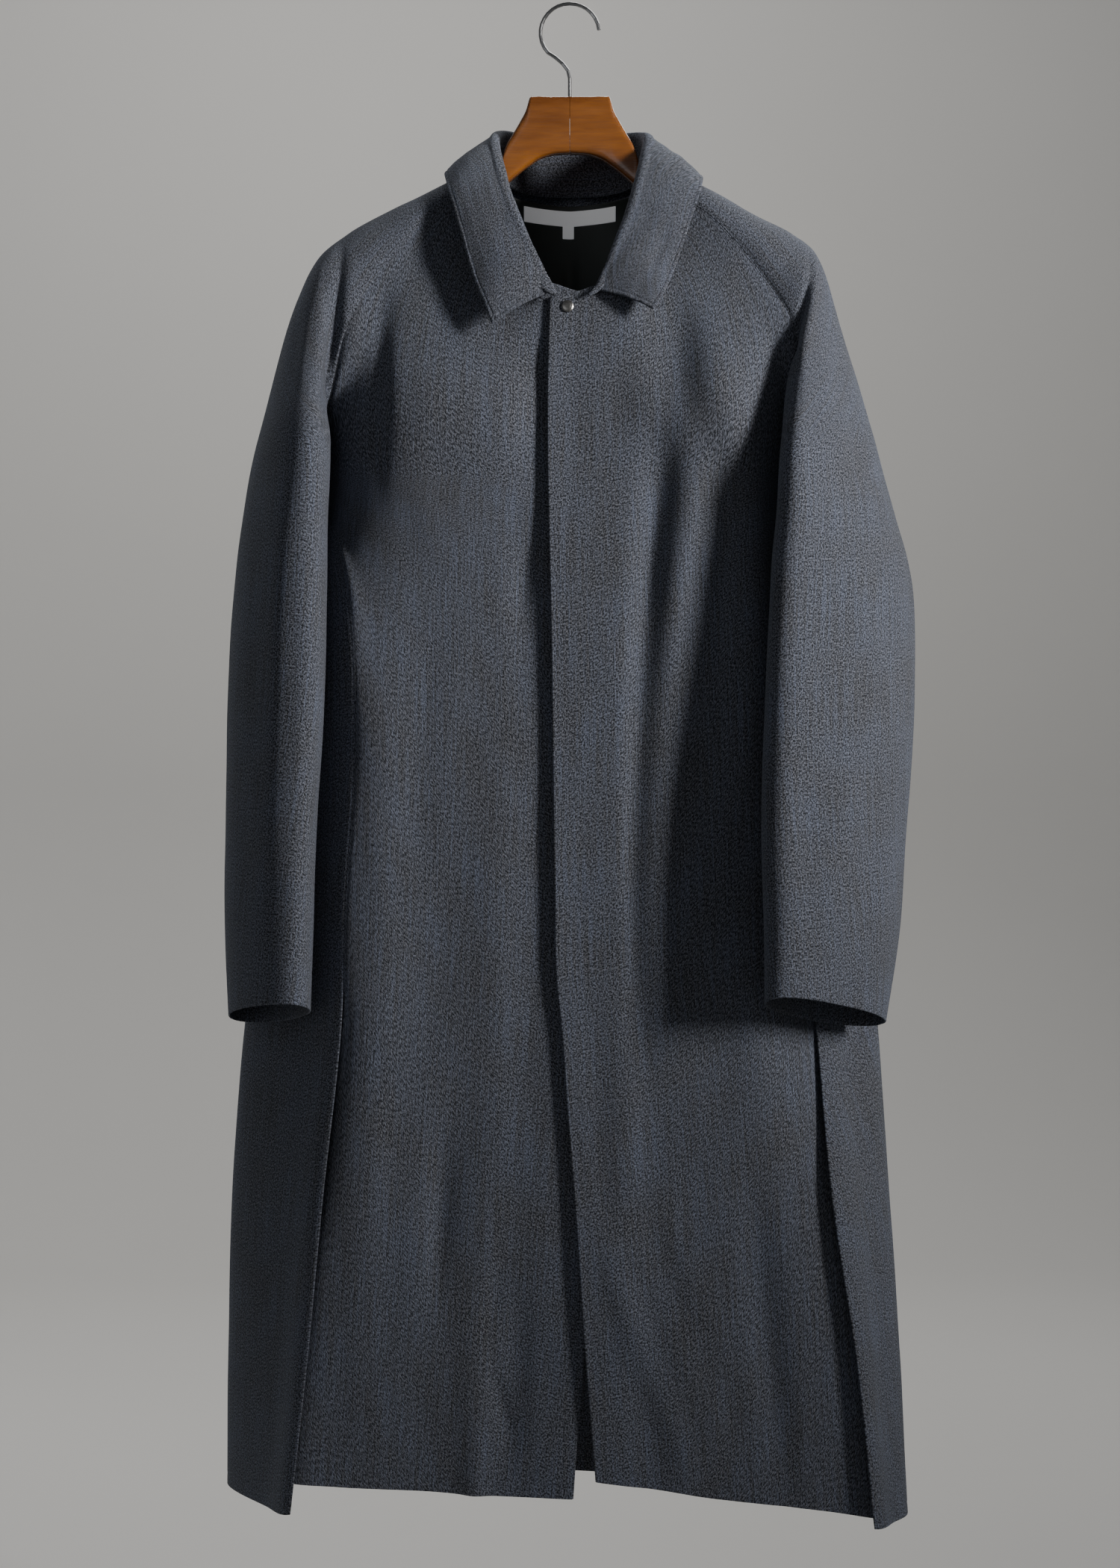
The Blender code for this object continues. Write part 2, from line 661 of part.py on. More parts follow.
def between(curve, start, end, axis=0):
    """The part of a curve that lies between two values of one coordinate."""
    order = curve if curve[-1, axis] > curve[0, axis] else curve[::-1]
    at = np.linspace(start, end, 60)
    return np.stack([np.interp(at, order[:, axis], order[:, k]) for k in range(3)], axis=1)


def stations(start, end, rows):
    return start + (end - start) * np.arange(rows + 1) / rows


def chorded(section, rows, distance):
    """A section moved off its panel as built: straight from one of its rows to the next."""
    moved = [lifted(section, v, distance) for v in rows]

    def between_rows(v):
        k = int(np.clip(np.searchsorted(rows, v) - 1, 0, len(rows) - 2))
        t = (v - rows[k]) / (rows[k + 1] - rows[k])
        return moved[k] * (1 - t) + moved[k + 1] * t

    return between_rows


# Half lining: the back's own points, moved inside, with an ease pleat down its centre
LINING_OFF = CLOTH / 2 + LINING_WALL / 2 + 0.9
PLEAT = 3.2
back_rows = stations(BACK_START, 1, BODY_ROWS)[:9]
inside_back = chorded(BACK.at, back_rows, -LINING_OFF)


def lining_section(v):
    curve = walked(inside_back(v), np.linspace(0, 1, BACK_COLUMNS + 1), 0.3, 0.3)[1:-1]
    curve[:, 1] -= PLEAT * eased((v - 0.05) / 0.09) * np.exp(-(((curve[:, 0] - 1) / 5.0) ** 2))
    return curve


cloth(
    "back_lining", lining_section, BACK_COLUMNS - 2, 6, dark_lining,
    wall=LINING_WALL, trim=(0, 0), ends=(back_rows[0], back_rows[6]),
)

# Label and size tab: the lining's points, moved inside again
TAPE_OFF = LINING_WALL / 2 + TAPE_WALL / 2 + 0.4
LABEL_LEFT, LABEL_RIGHT = -39.5, 40.0
TAB_LEFT, TAB_RIGHT = -5.8, 3.7
LABEL_ENDS, TAB_ENDS = (0.0153, 0.0313), (0.0319, 0.0451)
inside_lining = chorded(lining_section, back_rows[:3], -TAPE_OFF)

cloth("label", lambda v: between(inside_lining(v), LABEL_LEFT, LABEL_RIGHT), 10, 2, white_tape,
      wall=TAPE_WALL, trim=(0, 0), ends=LABEL_ENDS)
cloth("size_tab", lambda v: between(inside_lining(v), TAB_LEFT, TAB_RIGHT), 2, 2, white_tape,
      wall=TAPE_WALL, trim=(0, 0), ends=TAB_ENDS)

# Pocket facings: a narrow strip inside each front, behind the pocket mouth in the side seam
FACING_WIDTH, FACING_WALL = 10.0, 1.4
FACING_TOP_Z, FACING_END_Z = -640.0, -785.0
FACING_OFF = CLOTH / 2 + FACING_WALL / 2 + 0.75


def facing_section(v, side):
    curve = inside_front[side](v)
    length = np.linalg.norm(np.diff(curve, axis=0), axis=1).sum()
    return walked(curve, np.linspace(0, 1, 20), length - FACING_WIDTH - 1.5, 1.5)


def row_at(z):
    return TOP_SHARE + (1 - TOP_SHARE) * (ARMPIT_Z - z) / (ARMPIT_Z - HEM_Z)


front_rows = stations(FRONT_START, 1, BODY_ROWS)
inside_front = {
    "right": chorded(FRONT["right"].at, front_rows, FACING_OFF),
    "left": chorded(FRONT["left"].at, front_rows, -FACING_OFF),
}
for side, worn in (("right", "left"), ("left", "right")):
    cloth(
        f"pocket_facing_{worn}", lambda v, side=side: facing_section(v, side), 2, 8, melange,
        wall=FACING_WALL, trim=(0, 0), ends=(row_at(FACING_TOP_Z), row_at(FACING_END_Z)),
    )


# Snap cap: a turned dome on the top front, square to its cloth
def panel_frame(section, v, x, distance):
    """A point on a panel at one x, moved off it, and the panel's outward direction there."""
    points = []
    for w, off in ((v, 0.0), (v, distance)):
        curve = lifted(section, w, off)
        points.append(between(curve, x, x + 1)[0])
    return points[1], (points[1] - points[0]) / np.linalg.norm(points[1] - points[0])


snap_row = TOP_SHARE * (NECK_Z - SNAP_Z) / (NECK_Z - ARMPIT_Z)
snap_base, snap_out = panel_frame(FRONT["right"].at, snap_row, SNAP_X, -(CLOTH / 2 + 0.45))
profile = [(0.0, 1.0), (0.45, 0.93), (0.8, 0.68), (1.0, 0.3), (1.0, 0.0), (0.0, 0.0)]
dome = bpy.data.meshes.new("snap_cap")
dome.from_pydata(
    [(SNAP_RADIUS * MM * r, 0, SNAP_HEIGHT * MM * h) for r, h in profile],
    [(k, k + 1) for k in range(len(profile) - 1)], [],
)
snap_cap = bpy.data.objects.new("snap_cap", dome)
coat.objects.link(snap_cap)
place(snap_cap, "snap_cap", nickel)
turned = snap_cap.modifiers.new("Turned", "SCREW")
turned.steps = 20
turned.render_steps = 20
turned.use_merge_vertices = True
turned.merge_threshold = 0.00002
snap_cap.location = Vector(snap_base) * MM
snap_cap.rotation_euler = Vector(snap_out).to_track_quat("Z", "Y").to_euler()

# ---------------------------------------------------------------- hanger

# The visible yoke of each wooden arm, from the centre joint out
YOKE = Rows(
    "x top bottom thick mid_y",
    (0, -78, -126, 15, 0), (18, -78, -128, 15, 0), (30, -78, -133, 15, 0), (34, -79, -136, 15, 0),
    (37, -89, -138, 15, 0), (42, -99, -142, 15, 0), (48, -109.5, -147, 15, 0), (54, -120, -152, 15, 0),
    (58, -131, -155, 15, 0), (62, -141, -158.5, 14, 1), (66, -146.5, -162, 14, 2),
)
YOKE_STATIONS = (0, 14, 28, 34, 37, 42, 48, 54, 58, 62, 66)

# The covered part, by the rows of the sleeve that rests on it
ARM = Rows(
    "row tall thick droop",
    (0, 24, 15, 5), (0.5, 29, 17, 0), (1, 30, 22, 0), (2, 28, 32, 0), (3, 26, 37, 0.4), (3.4, 24, 33, 1.2), (3.6, 19, 24, 5),
)
REST = CLOTH / 2 + 0.5   # the cloth's middle lies this far above the wood
RING = 18
CORNER_POWER = 0.45
sleeve_rows = LAST * stations(SLEEVE_START, 1, SLEEVE_ROWS)


def block_ring(top, bottom, thick, mid):
    """The outline across an arm as y and z: a rounded block."""
    angles = np.linspace(0, 2 * pi, RING, endpoint=False)
    y = mid + thick / 2 * np.sign(np.cos(angles)) * np.abs(np.cos(angles)) ** CORNER_POWER
    z = (top + bottom) / 2
    z = z + (top - bottom) / 2 * np.sign(np.sin(angles)) * np.abs(np.sin(angles)) ** CORNER_POWER
    return y, z


def yoke_ring(side, x):
    out = 1 if side == "right" else -1
    y, z = block_ring(*YOKE.at(x, "top", "bottom", "thick", "mid_y"))
    return [(out * max(x, SEAM / 2) * MM, a * MM, b * MM) for a, b in zip(y, z)]


def arm_ring(side, row):
    """The same block under the sleeve: no point of it comes nearer to the cloth than REST."""
    front = sleeve_arc(side, row, "front")
    back = sleeve_arc(side, row, "back")
    cover = np.vstack([front, back[::-1][1:]])
    cover = cover[np.argsort(cover[:, 1])]
    tall, thick, droop = ARM.at(row, "tall", "thick", "droop")
    ridge = front[-1]
    y, z = block_ring(ridge[2] - droop, ridge[2] - tall, thick, ridge[1])
    lean = np.interp(y, cover[:, 1], cover[:, 0]) - ridge[0]
    slope = np.gradient(cover[:, 2], cover[:, 1] + 1e-6 * np.arange(len(cover)))
    run, drop = SEAMS[side].at(row + 0.1, "ridge_x", "ridge_z") - SEAMS[side].at(row - 0.1, "ridge_x", "ridge_z")
    tilt = np.sqrt(1 + np.interp(y, cover[:, 1], slope) ** 2 + (drop / run) ** 2)
    z = np.minimum(z, np.interp(y, cover[:, 1], cover[:, 2]) - REST * tilt)
    return [((ridge[0] + a) * MM, b * MM, c * MM) for a, b, c in zip(lean, y, z)]


def loft(name, rings, finish):
    """A closed solid through rings of equal count."""
    solid = bmesh.new()
    loops = [[solid.verts.new(point) for point in ring] for ring in rings]
    for first, second in zip(loops, loops[1:]):
        count = len(first)
        for k in range(count):
            solid.faces.new((first[k], first[(k + 1) % count], second[(k + 1) % count], second[k]))
    solid.faces.new(loops[0])
    solid.faces.new(loops[-1])
    bmesh.ops.recalc_face_normals(solid, faces=solid.faces)
    mesh = bpy.data.meshes.new(name)
    solid.to_mesh(mesh)
    solid.free()
    obj = bpy.data.objects.new(name, mesh)
    coat.objects.link(obj)
    return place(obj, name, finish)


cutters = bpy.data.collections.new("Cutters")
bpy.context.scene.collection.children.link(cutters)
bpy.ops.mesh.primitive_cylinder_add(
    vertices=16, radius=(HOOK_WIRE / 2 + SEAM) * MM, depth=2 * SHANK_DEPTH * MM, location=(0, 0, WOOD_TOP_Z * MM)
)
shank_hole = bpy.context.object
shank_hole.name = "shank_hole"
shank_hole.hide_render = True
shank_hole.display_type = "WIRE"
for collection in list(shank_hole.users_collection):
    collection.objects.unlink(shank_hole)
cutters.objects.link(shank_hole)

for side in ("right", "left"):
    rings = [yoke_ring(side, x) for x in YOKE_STATIONS]
    rings += [arm_ring(side, row) for row in sleeve_rows if 0.3 < row < 3.45] + [arm_ring(side, 3.6)]
    worn = "left" if side == "right" else "right"
    arm = loft(f"hanger_arm_{worn}", rings, varnished)
    hole = arm.modifiers.new("Shank hole", "BOOLEAN")
    hole.operation = "DIFFERENCE"
    hole.solver = "EXACT"
    hole.object = shank_hole

# Hook: a shank up from the wood, a bend to the left and round over the top to the right
shank_end = WOOD_TOP_Z - SHANK_DEPTH + SEAM
bend = [(0, shank_end), (0, -86), (0, -70), (0, -62), (-1.5, -55.5), (-6, -49.5), (-12.5, -44)]
round_top = [
    (HOOK_RADIUS * cos(radians(a)), HOOK_CENTRE_Z + HOOK_RADIUS * sin(radians(a))) for a in range(222, -3, -12)
]
bent = bpy.data.curves.new("hanger_hook", "CURVE")
bent.dimensions = "3D"
bent.bevel_depth = HOOK_WIRE / 2 * MM
bent.bevel_resolution = 2
bent.use_fill_caps = True
line = bent.splines.new("POLY")
route = bend + round_top
line.points.add(len(route) - 1)
for point, (x, z) in zip(line.points, route):
    point.co = (x * MM, 0, z * MM, 1)
hanger_hook = bpy.data.objects.new("hanger_hook", bent)
coat.objects.link(hanger_hook)
place(hanger_hook, "hanger_hook", wire)
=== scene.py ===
from math import cos, pi, radians, sin

import bmesh
import bpy
import numpy as np
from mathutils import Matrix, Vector


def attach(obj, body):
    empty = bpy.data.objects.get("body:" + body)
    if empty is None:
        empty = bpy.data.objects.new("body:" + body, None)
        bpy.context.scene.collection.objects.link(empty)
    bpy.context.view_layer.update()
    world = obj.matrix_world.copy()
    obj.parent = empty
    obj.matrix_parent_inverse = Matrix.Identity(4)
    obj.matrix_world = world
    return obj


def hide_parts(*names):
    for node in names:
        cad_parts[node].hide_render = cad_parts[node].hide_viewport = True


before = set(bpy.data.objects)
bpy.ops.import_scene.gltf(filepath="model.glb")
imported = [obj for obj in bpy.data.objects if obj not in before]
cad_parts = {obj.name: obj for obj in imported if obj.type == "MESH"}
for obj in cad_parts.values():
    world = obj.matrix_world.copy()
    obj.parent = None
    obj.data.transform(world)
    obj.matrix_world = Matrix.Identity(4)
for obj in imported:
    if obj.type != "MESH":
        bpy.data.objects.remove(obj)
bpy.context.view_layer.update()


# ================================================================ view and studio light
# The coat hangs square to the viewer. A lamp to the right rakes across it and a weaker one fills
# from the left; one behind lights its rim, and one the plain wall that the pale floor curves into.

MM = 0.001
PHOTO_TALL = 2100
MM_PER_PIXEL = 0.635        # at the hook's depth
SENSOR = 36.0
EYE = Vector((-8.3, -2100.0, -662.0)) * MM


def linked(name, data):
    made = bpy.data.objects.new(name, data)
    bpy.context.scene.collection.objects.link(made)
    return made


eye = bpy.data.cameras.new("Eye")
eye.sensor_fit = "VERTICAL"
eye.sensor_height = SENSOR
eye.lens = SENSOR * (-EYE.y / MM / MM_PER_PIXEL) / PHOTO_TALL
eye.clip_end = 60
camera = linked("Eye", eye)
camera.location = EYE
camera.rotation_euler = (radians(90), 0, 0)
bpy.context.scene.camera = camera


class Wire:
    """A shader value on its way between nodes. Sums and products of it add Math nodes."""

    def __init__(self, look, socket):
        self.look, self.socket = look, socket

    def maths(self, operation, other):
        return self.look.node("Math", {"operation": operation}, {0: self, 1: other})

    def __add__(self, other):
        return self.maths("ADD", other)

    def __mul__(self, other):
        return self.maths("MULTIPLY", other)

    __radd__ = __add__
    __rmul__ = __mul__

    def clipped(self, low, high):
        return self.look.node("MapRange", {"clamp": True}, {0: self, 1: low, 2: high, 3: 0.0, 4: 1.0})


class Look:
    """One finish: a material, its Principled surface and the nodes that vary it."""

    def __init__(self, name, **fixed):
        self.material = bpy.data.materials.new(name)
        self.material.use_nodes = True
        self.tree = self.material.node_tree
        self.surface = self.tree.nodes["Principled BSDF"]
        for socket, value in fixed.items():
            self.surface.inputs[socket.replace("_", " ")].default_value = value

    def node(self, kind, settings=None, values=None, out=0):
        made = self.tree.nodes.new("ShaderNode" + kind)
        for setting, value in (settings or {}).items():
            setattr(made, setting, value)
        for socket, value in (values or {}).items():
            if isinstance(value, Wire):
                self.tree.links.new(value.socket, made.inputs[socket])
            else:
                made.inputs[socket].default_value = value
        return Wire(self, made.outputs[out])

    def feed(self, socket, wire):
        self.tree.links.new(wire.socket, self.surface.inputs[socket])

    def mix(self, share, first, second):
        colours = [c if isinstance(c, Wire) else (*c, 1.0) for c in (first, second)]
        return self.node("Mix", {"data_type": "RGBA"}, {0: share, 6: colours[0], 7: colours[1]}, out=2)

    def stretched(self, vector, scale):
        return self.node("VectorMath", {"operation": "MULTIPLY"}, {0: vector, 1: scale})

    def noise(self, vector, scale, detail, roughness=0.5):
        values = {"Vector": vector, "Scale": scale, "Detail": detail, "Roughness": roughness}
        return self.node("TexNoise", None, values)

    def bump(self, height, distance, strength):
        return self.node("Bump", None, {"Height": height, "Distance": distance, "Strength": strength})


paper = Look("Pale floor", Base_Color=(0.62, 0.61, 0.59, 1), Roughness=0.75)
speck = paper.noise(paper.node("TexCoord", out=3), 1.3, 3.0)
paper.feed("Base Color", paper.mix(speck, (0.60, 0.59, 0.57), (0.64, 0.63, 0.61)))
FLOOR_Z, FLOOR_NEAR_Y, FLOOR_SIDE_X = -1.56, -5.0, 6.0
WALL_Y, WALL_TOP_Z, SWEEP = 3.3, 3.2, 0.9
floor_profile = [(FLOOR_NEAR_Y, FLOOR_Z), (WALL_Y - SWEEP, FLOOR_Z)]
floor_profile += [
    (WALL_Y - SWEEP + SWEEP * sin(a), FLOOR_Z + SWEEP * (1 - cos(a)))
    for a in np.linspace(0.08, pi / 2, 14)
]
floor_profile += [(WALL_Y, WALL_TOP_Z)]
sweep_mesh = bpy.data.meshes.new("floor")
sweep_mesh.from_pydata(
    [(x, y, z) for y, z in floor_profile for x in (-FLOOR_SIDE_X, FLOOR_SIDE_X)],
    [],
    [(2 * k, 2 * k + 1, 2 * k + 3, 2 * k + 2) for k in range(len(floor_profile) - 1)],
)
sweep_mesh.shade_smooth()
sweep_mesh.materials.append(paper.material)
floor = linked("floor", sweep_mesh)

sky = bpy.data.worlds.new("Room")
sky.use_nodes = True
sky.node_tree.nodes["Background"].inputs["Color"].default_value = (0.92, 0.95, 1.0, 1)
sky.node_tree.nodes["Background"].inputs["Strength"].default_value = 0.10
bpy.context.scene.world = sky


def lamp(name, place, target, wide, tall, watts, colour, spread=180):
    data = bpy.data.lights.new(name, "AREA")
    data.shape = "RECTANGLE"
    data.size = wide
    data.size_y = tall
    data.energy = watts
    data.color = colour
    data.spread = radians(spread)
    made = linked(name, data)
    made.location = place
    made.rotation_euler = (Vector(target) - Vector(place)).to_track_quat("-Z", "Y").to_euler()


lamp("Key", (2.68, -1.53, 0.34), (0.0, 0.0, -0.24), 0.5, 1.1, 11.6, (1.0, 0.985, 0.96), 45)
lamp("Fill", (-1.2, -3.0, 0.1), (0.0, 0.0, -0.6), 1.8, 1.8, 9, (0.93, 0.96, 1.0))
lamp("Rim", (0.6, 1.9, 1.0), (0.0, 0.0, -0.5), 1.2, 1.2, 16, (1.0, 1.0, 1.0))
lamp("Wall", (-0.6, 0.9, 1.6), (0.0, 3.3, -0.6), 1.6, 0.6, 50, (1.0, 0.99, 0.97))


# ================================================================ fronts
# Two fronts of medium-weight melange wool, woven salt and pepper. The left laps over the right and
# closes out of sight; both have bagged edges, a deep turned hem and a slit at each side.

CLOTH = 1.6         # the wall of the wool
PAGE = 2.8          # how far apart two layers lie where they lap
NECK_Z = -261.0
ARMPIT_Z = -400.0
HEM_Z = -1250.0


def eased(value):
    """0 to 1 with soft ends."""
    value = np.clip(value, 0.0, 1.0)
    return value * value * (3 - 2 * value)


def cubic(keys, values, at):
    """A smooth curve through the values, read at any key."""
    at = np.clip(np.atleast_1d(np.asarray(at, float)), keys[0], keys[-1])
    slopes = np.gradient(values, keys, axis=0)
    i = np.clip(np.searchsorted(keys, at, side="right") - 1, 0, len(keys) - 2)
    width = (keys[i + 1] - keys[i])[:, None]
    t = ((at - keys[i]) / width[:, 0])[:, None]
    return (
        values[i] * (1 + 2 * t) * (1 - t) ** 2
        + slopes[i] * width * t * (1 - t) ** 2
        + values[i + 1] * t * t * (3 - 2 * t)
        + slopes[i + 1] * width * t * t * (t - 1)
    )


class Rows:
    """A table with named columns and one row a section. The first column is the key."""

    def __init__(self, columns, *rows):
        table = np.array(sorted(rows), float)
        self.names = columns.split()
        self.keys = table[:, 0]
        self.table = table

    def at(self, key, *names):
        found = cubic(self.keys, self.table, key)[0]
        picked = [found[self.names.index(name)] for name in names]
        return picked[0] if len(picked) == 1 else np.array(picked)


def curve_through(knots, samples=90):
    """A dense smooth curve through knots that lie unevenly."""
    knots = np.asarray(knots, float)
    steps = np.sqrt(np.linalg.norm(np.diff(knots, axis=0), axis=1))
    keys = np.concatenate([[0.0], np.cumsum(steps)])
    return cubic(keys, knots, np.linspace(0, keys[-1], samples))


def walked(curve, fractions, trim_start=0.0, trim_end=0.0):
    """Points at fractions of a curve's length, with its ends trimmed."""
    lengths = np.concatenate([[0.0], np.cumsum(np.linalg.norm(np.diff(curve, axis=0), axis=1))])
    at = trim_start + np.asarray(fractions) * (lengths[-1] - trim_start - trim_end)
    return np.stack([np.interp(at, lengths, curve[:, k]) for k in range(3)], axis=1)


# Down each sleeve: the ridge on the hanger, and the front and back raglan seams
RAGLAN = {
    "right": [
        (0, 71, -137, 71, -26, -164, 67, 22, -142),
        (1, 115, -156.5, 108, -34, -180, 106, 31, -172),
        (2, 159, -182, 138, -46, -211, 140, 43, -205),
        (3, 188, -198.5, 165, -59, -250, 168, 54, -246),
        (4, 209, -221, 184, -69, -285, 188, 62, -286),
        (5, 0, 0, 196, -62, -336, 204, 50, -342),
    ],
    "left": [
        (0, -69, -136, -69, -26, -164, -65, 22, -142),
        (1, -109, -155, -107, -34, -180, -105, 31, -172),
        (2, -150, -176.5, -138, -46, -212, -139, 43, -205),
        (3, -186, -197, -165, -60, -250, -167, 54, -247),
        (4, -213, -224, -185, -71, -290, -190, 62, -290),
        (5, 0, 0, -199, -64, -342, -207, 50, -346),
    ],
}
RIDGE_Y = Rows("row y", (0, 3), (1, 0), (2, -4), (3, -9), (4, -14))

# The tube of each sleeve: its outer and inner edges as seen from the front, and its depth
TUBE_COLUMNS = "row out_x out_z in_x in_z mid_y half_y skew"
TUBE = {
    "right": Rows(
        TUBE_COLUMNS,
        (3, 188, -198.5, 170, -240, -10, 40, 0),
        (4, 209, -221, 198, -246, -22, 44, 10),
        (5, 229, -280, 182, -308, -37, 57, 25),
        (6, 258, -376, 171, -390, -50, 73, 40),
        (7, 275, -438, 167.5, -446, -57, 70, 43),
        (7.6, 284.5, -475, 163, -484, -62, 68, 43),
        (8.1, 288.5, -508, 161, -514, -66, 67, 43),
        (8.5, 288.5, -550, 158.5, -555, -71, 66, 43),
        (9, 286, -610, 156, -612, -79, 64, 42),
        (10, 278.5, -700, 153.5, -700, -90, 60, 41),
        (11, 272, -780, 155, -775, -98, 55, 40),
        (12, 258.5, -857, 155.6, -836, -103, 49, 39),
    ),
    "left": Rows(
        TUBE_COLUMNS,
        (3, -186, -197, -172, -240, -10, 40, 0),
        (4, -213, -224, -204, -250, -22, 44, 10),
        (5, -237, -278, -200, -308, -37, 60, 25),
        (6, -264, -378, -195, -388, -53, 78, 35),
        (7, -275, -447, -196, -450, -64, 80, 36),
        (8, -281.5, -515, -196.5, -518, -73, 79, 37),
        (9, -285.7, -610, -199, -612, -78, 75, 38),
        (10, -286.4, -700, -204, -700, -81, 69, 38),
        (11, -286, -780, -206.5, -776, -84, 64, 38),
        (12, -282.5, -855, -208.7, -842, -87, 59, 38),
    ),
}
UNDERARM = -75.0    # where the underarm seam lies round the tube, from its inner edge
CUFF_RAISE = 11.0   # the cuff's front is this much higher than its middle, and its back lower
LAST = 12
FOLD_OVER = {"right": (-11, -4, 0), "left": (3, -2, 0)}     # over its own seam above the armpit


def ridge_angle(row):
    """Where the shoulder seam lies round the tube: it turns a little to the back below the tip."""
    return 180 + 15 * eased((row - 4) / 3)


def tube_point(side, row, angle):
    out_x, out_z, in_x, in_z, mid, half, skew = TUBE[side].at(row, *TUBE_COLUMNS.split()[1:])
    a = np.radians(angle)
    inward = (1 + np.cos(a)) / 2
    if side == "right":
        # Pressed flat in front, from a fold along its inner edge
        flatter = inward ** (1 - 0.38 * (1 - eased((a - 1.0) / 1.5)))
        inward = np.where((a > 0) & (a < pi), flatter, inward)
    raise_front = CUFF_RAISE * eased((row - 9) / 3)
    return np.stack(
        [
            out_x + (in_x - out_x) * inward,
            mid - half * np.sin(a + radians(skew)),
            out_z + (in_z - out_z) * inward + raise_front * np.sin(a),
        ],
        axis=-1,
    )


def raglan_rows(side):
    """The seam table with the rows where the ridge and the armpit lie on the tube."""
    rows = [list(row) for row in RAGLAN[side]]
    armpit = tube_point(side, 6, UNDERARM)
    for row in (5, 6):
        ridge = tube_point(side, row, ridge_angle(row))
        if row == 6:
            rows.append([6, 0, 0, *armpit, *armpit])
        rows[row][1:3] = [ridge[0], ridge[2]]
    rows = [[*row, RIDGE_Y.at(row[0], "y")] for row in rows]
    for row in (5, 6):
        rows[row][-1] = tube_point(side, row, ridge_angle(row))[1]
    return Rows("row ridge_x ridge_z front_x front_y front_z back_x back_y back_z ridge_y", *rows)


SEAMS = {side: raglan_rows(side) for side in RAGLAN}


def raglan_seam(side, row, face):
    return SEAMS[side].at(row, face + "_x", face + "_y", face + "_z")


# Down the centre: the fronts' edge, the fronts' depth there and 100 mm out, the back's depth
CENTRE = Rows(
    "z edge_y front_y back_y",
    (-262, -74, -72, 61), (-300, -80, -78, 72), (-400, -89, -88, 84), (-510, -92, -90, 88),
    (-640, -94, -92, 90), (-760, -96, -93, 91), (-850, -97, -94, 92), (-1000, -98, -95, 93),
    (-1130, -99, -96, 95), (-1250, -98, -96, 97),
)
TOP_EDGE = Rows(
    "z x",
    (-262, -16), (-305, -17.4), (-571, -14.4), (-753, -12), (-822, -10.5), (-860, -6.5),
    (-924, -2), (-998, 4), (-1144, 13), (-1250, 21),
)
UNDER_EDGE = Rows(
    "z x", (-262, 36), (-700, 34), (-850, 28), (-1000, 18), (-1144, 10), (-1200, 5.5), (-1250, 2)
)

# Round each side, front to back: front corner, side seam (below the slit top: the flap's edge),
# side, outermost point and rear corner
SIDE_COLUMNS = "z corner_x corner_y seam_x seam_y side_x side_y wing_x wing_y rear_x rear_y"
SIDE = {
    "right": Rows(
        SIDE_COLUMNS,
        (-400, 150, -83, 195, 3, 203, 20, 209, 38, 178, 76),
        (-450, 153, -89, 186, -27, 205, -2, 224, 36, 184, 80),
        (-510, 156, -91, 177, -56, 201, -26, 237, 28, 190, 84),
        (-640, 152, -91, 182, -60, 204, -36, 248, 12, 200, 86),
        (-760, 150, -89, 190, -62, 212, -40, 256, 4, 208, 88),
        (-851, 156, -91, 202, -62, 224, -42, 261, -4, 214, 90),
        (-1000, 172, -95, 213, -97, 238, -72, 268, -24, 222, 90),
        (-1130, 188, -97, 233, -105, 253, -78, 276, -32, 228, 90),
        (-1250, 205, -98, 245.5, -110, 265, -80, 281, -40, 234, 90),
    ),
    "left": Rows(
        SIDE_COLUMNS,
        (-400, -160, -80, -220, 5, -222, 21, -223, 40, -182, 76),
        (-450, -164, -87, -196, -52, -213, -18, -231, 34, -188, 80),
        (-510, -163, -93, -182, -83, -204, -58, -239, 28, -194, 84),
        (-640, -158, -95, -176, -89, -202, -67, -253, 28, -204, 88),
        (-760, -161, -97, -183, -91, -208, -68, -265, 26, -212, 90),
        (-851, -164, -98, -186, -92, -211, -66, -277, 24, -220, 92),
        (-1000, -172, -98, -201, -100, -226, -74, -289, 24, -232, 94),
        (-1130, -180, -98, -213, -106, -238, -72, -292, 27, -238, 96),
        (-1250, -187, -98, -226, -111, -250, -70, -292, 30, -242, 98),
    ),
}
OUT = {"right": 1, "left": -1}
TUCK_OUT = 5.0      # below the slit top a front reaches this far behind the flap
TUCK_BACK = 16.0    # and lies this far behind it

# The hem's height above or below HEM_Z, at each piece's start, middle and end
HEM_FROM_Z = -960.0     # it fades out up to this height
HEM = {
    "front_left": (23, 9, -8),
    "front_right": (8, 14, 22),
    "back": (0, -23, -12),
}

# Large soft folds: x and z where each starts, passes and ends, how wide and how deep it is
FOLDS = {
    "front_left": [
        (98, -285, 61, -520, 43, -830, 14, 7),
        (119, -285, 83, -520, 63, -830, 15, -6),
        (126, -400, 123, -480, 118, -570, 9, 2.5),
        (56, -1030, 92, -1105, 128, -1190, 16, -6),
        (150, -1010, 160, -1110, 176, -1240, 14, 5),
    ],
    "front_right": [
        (-156, -250, -157, -360, -156, -500, 9, 4.5),
        (-32, -445, -35, -492, -37, -545, 11, 3.5),
        (-92, -955, -104, -1010, -96, -1075, 15, 5),
        (-52, -1090, -45, -1150, -43, -1205, 12, 6),
        (-84, -1160, -80, -1210, -78, -1262, 10, -5),
    ],
    "back": [
        (-118, -300, -104, -620, -120, -1150, 26, -10),
        (112, -320, 100, -640, 116, -1180, 26, -10),
        (8, -420, 4, -800, -6, -1262, 24, -6),
    ],
}


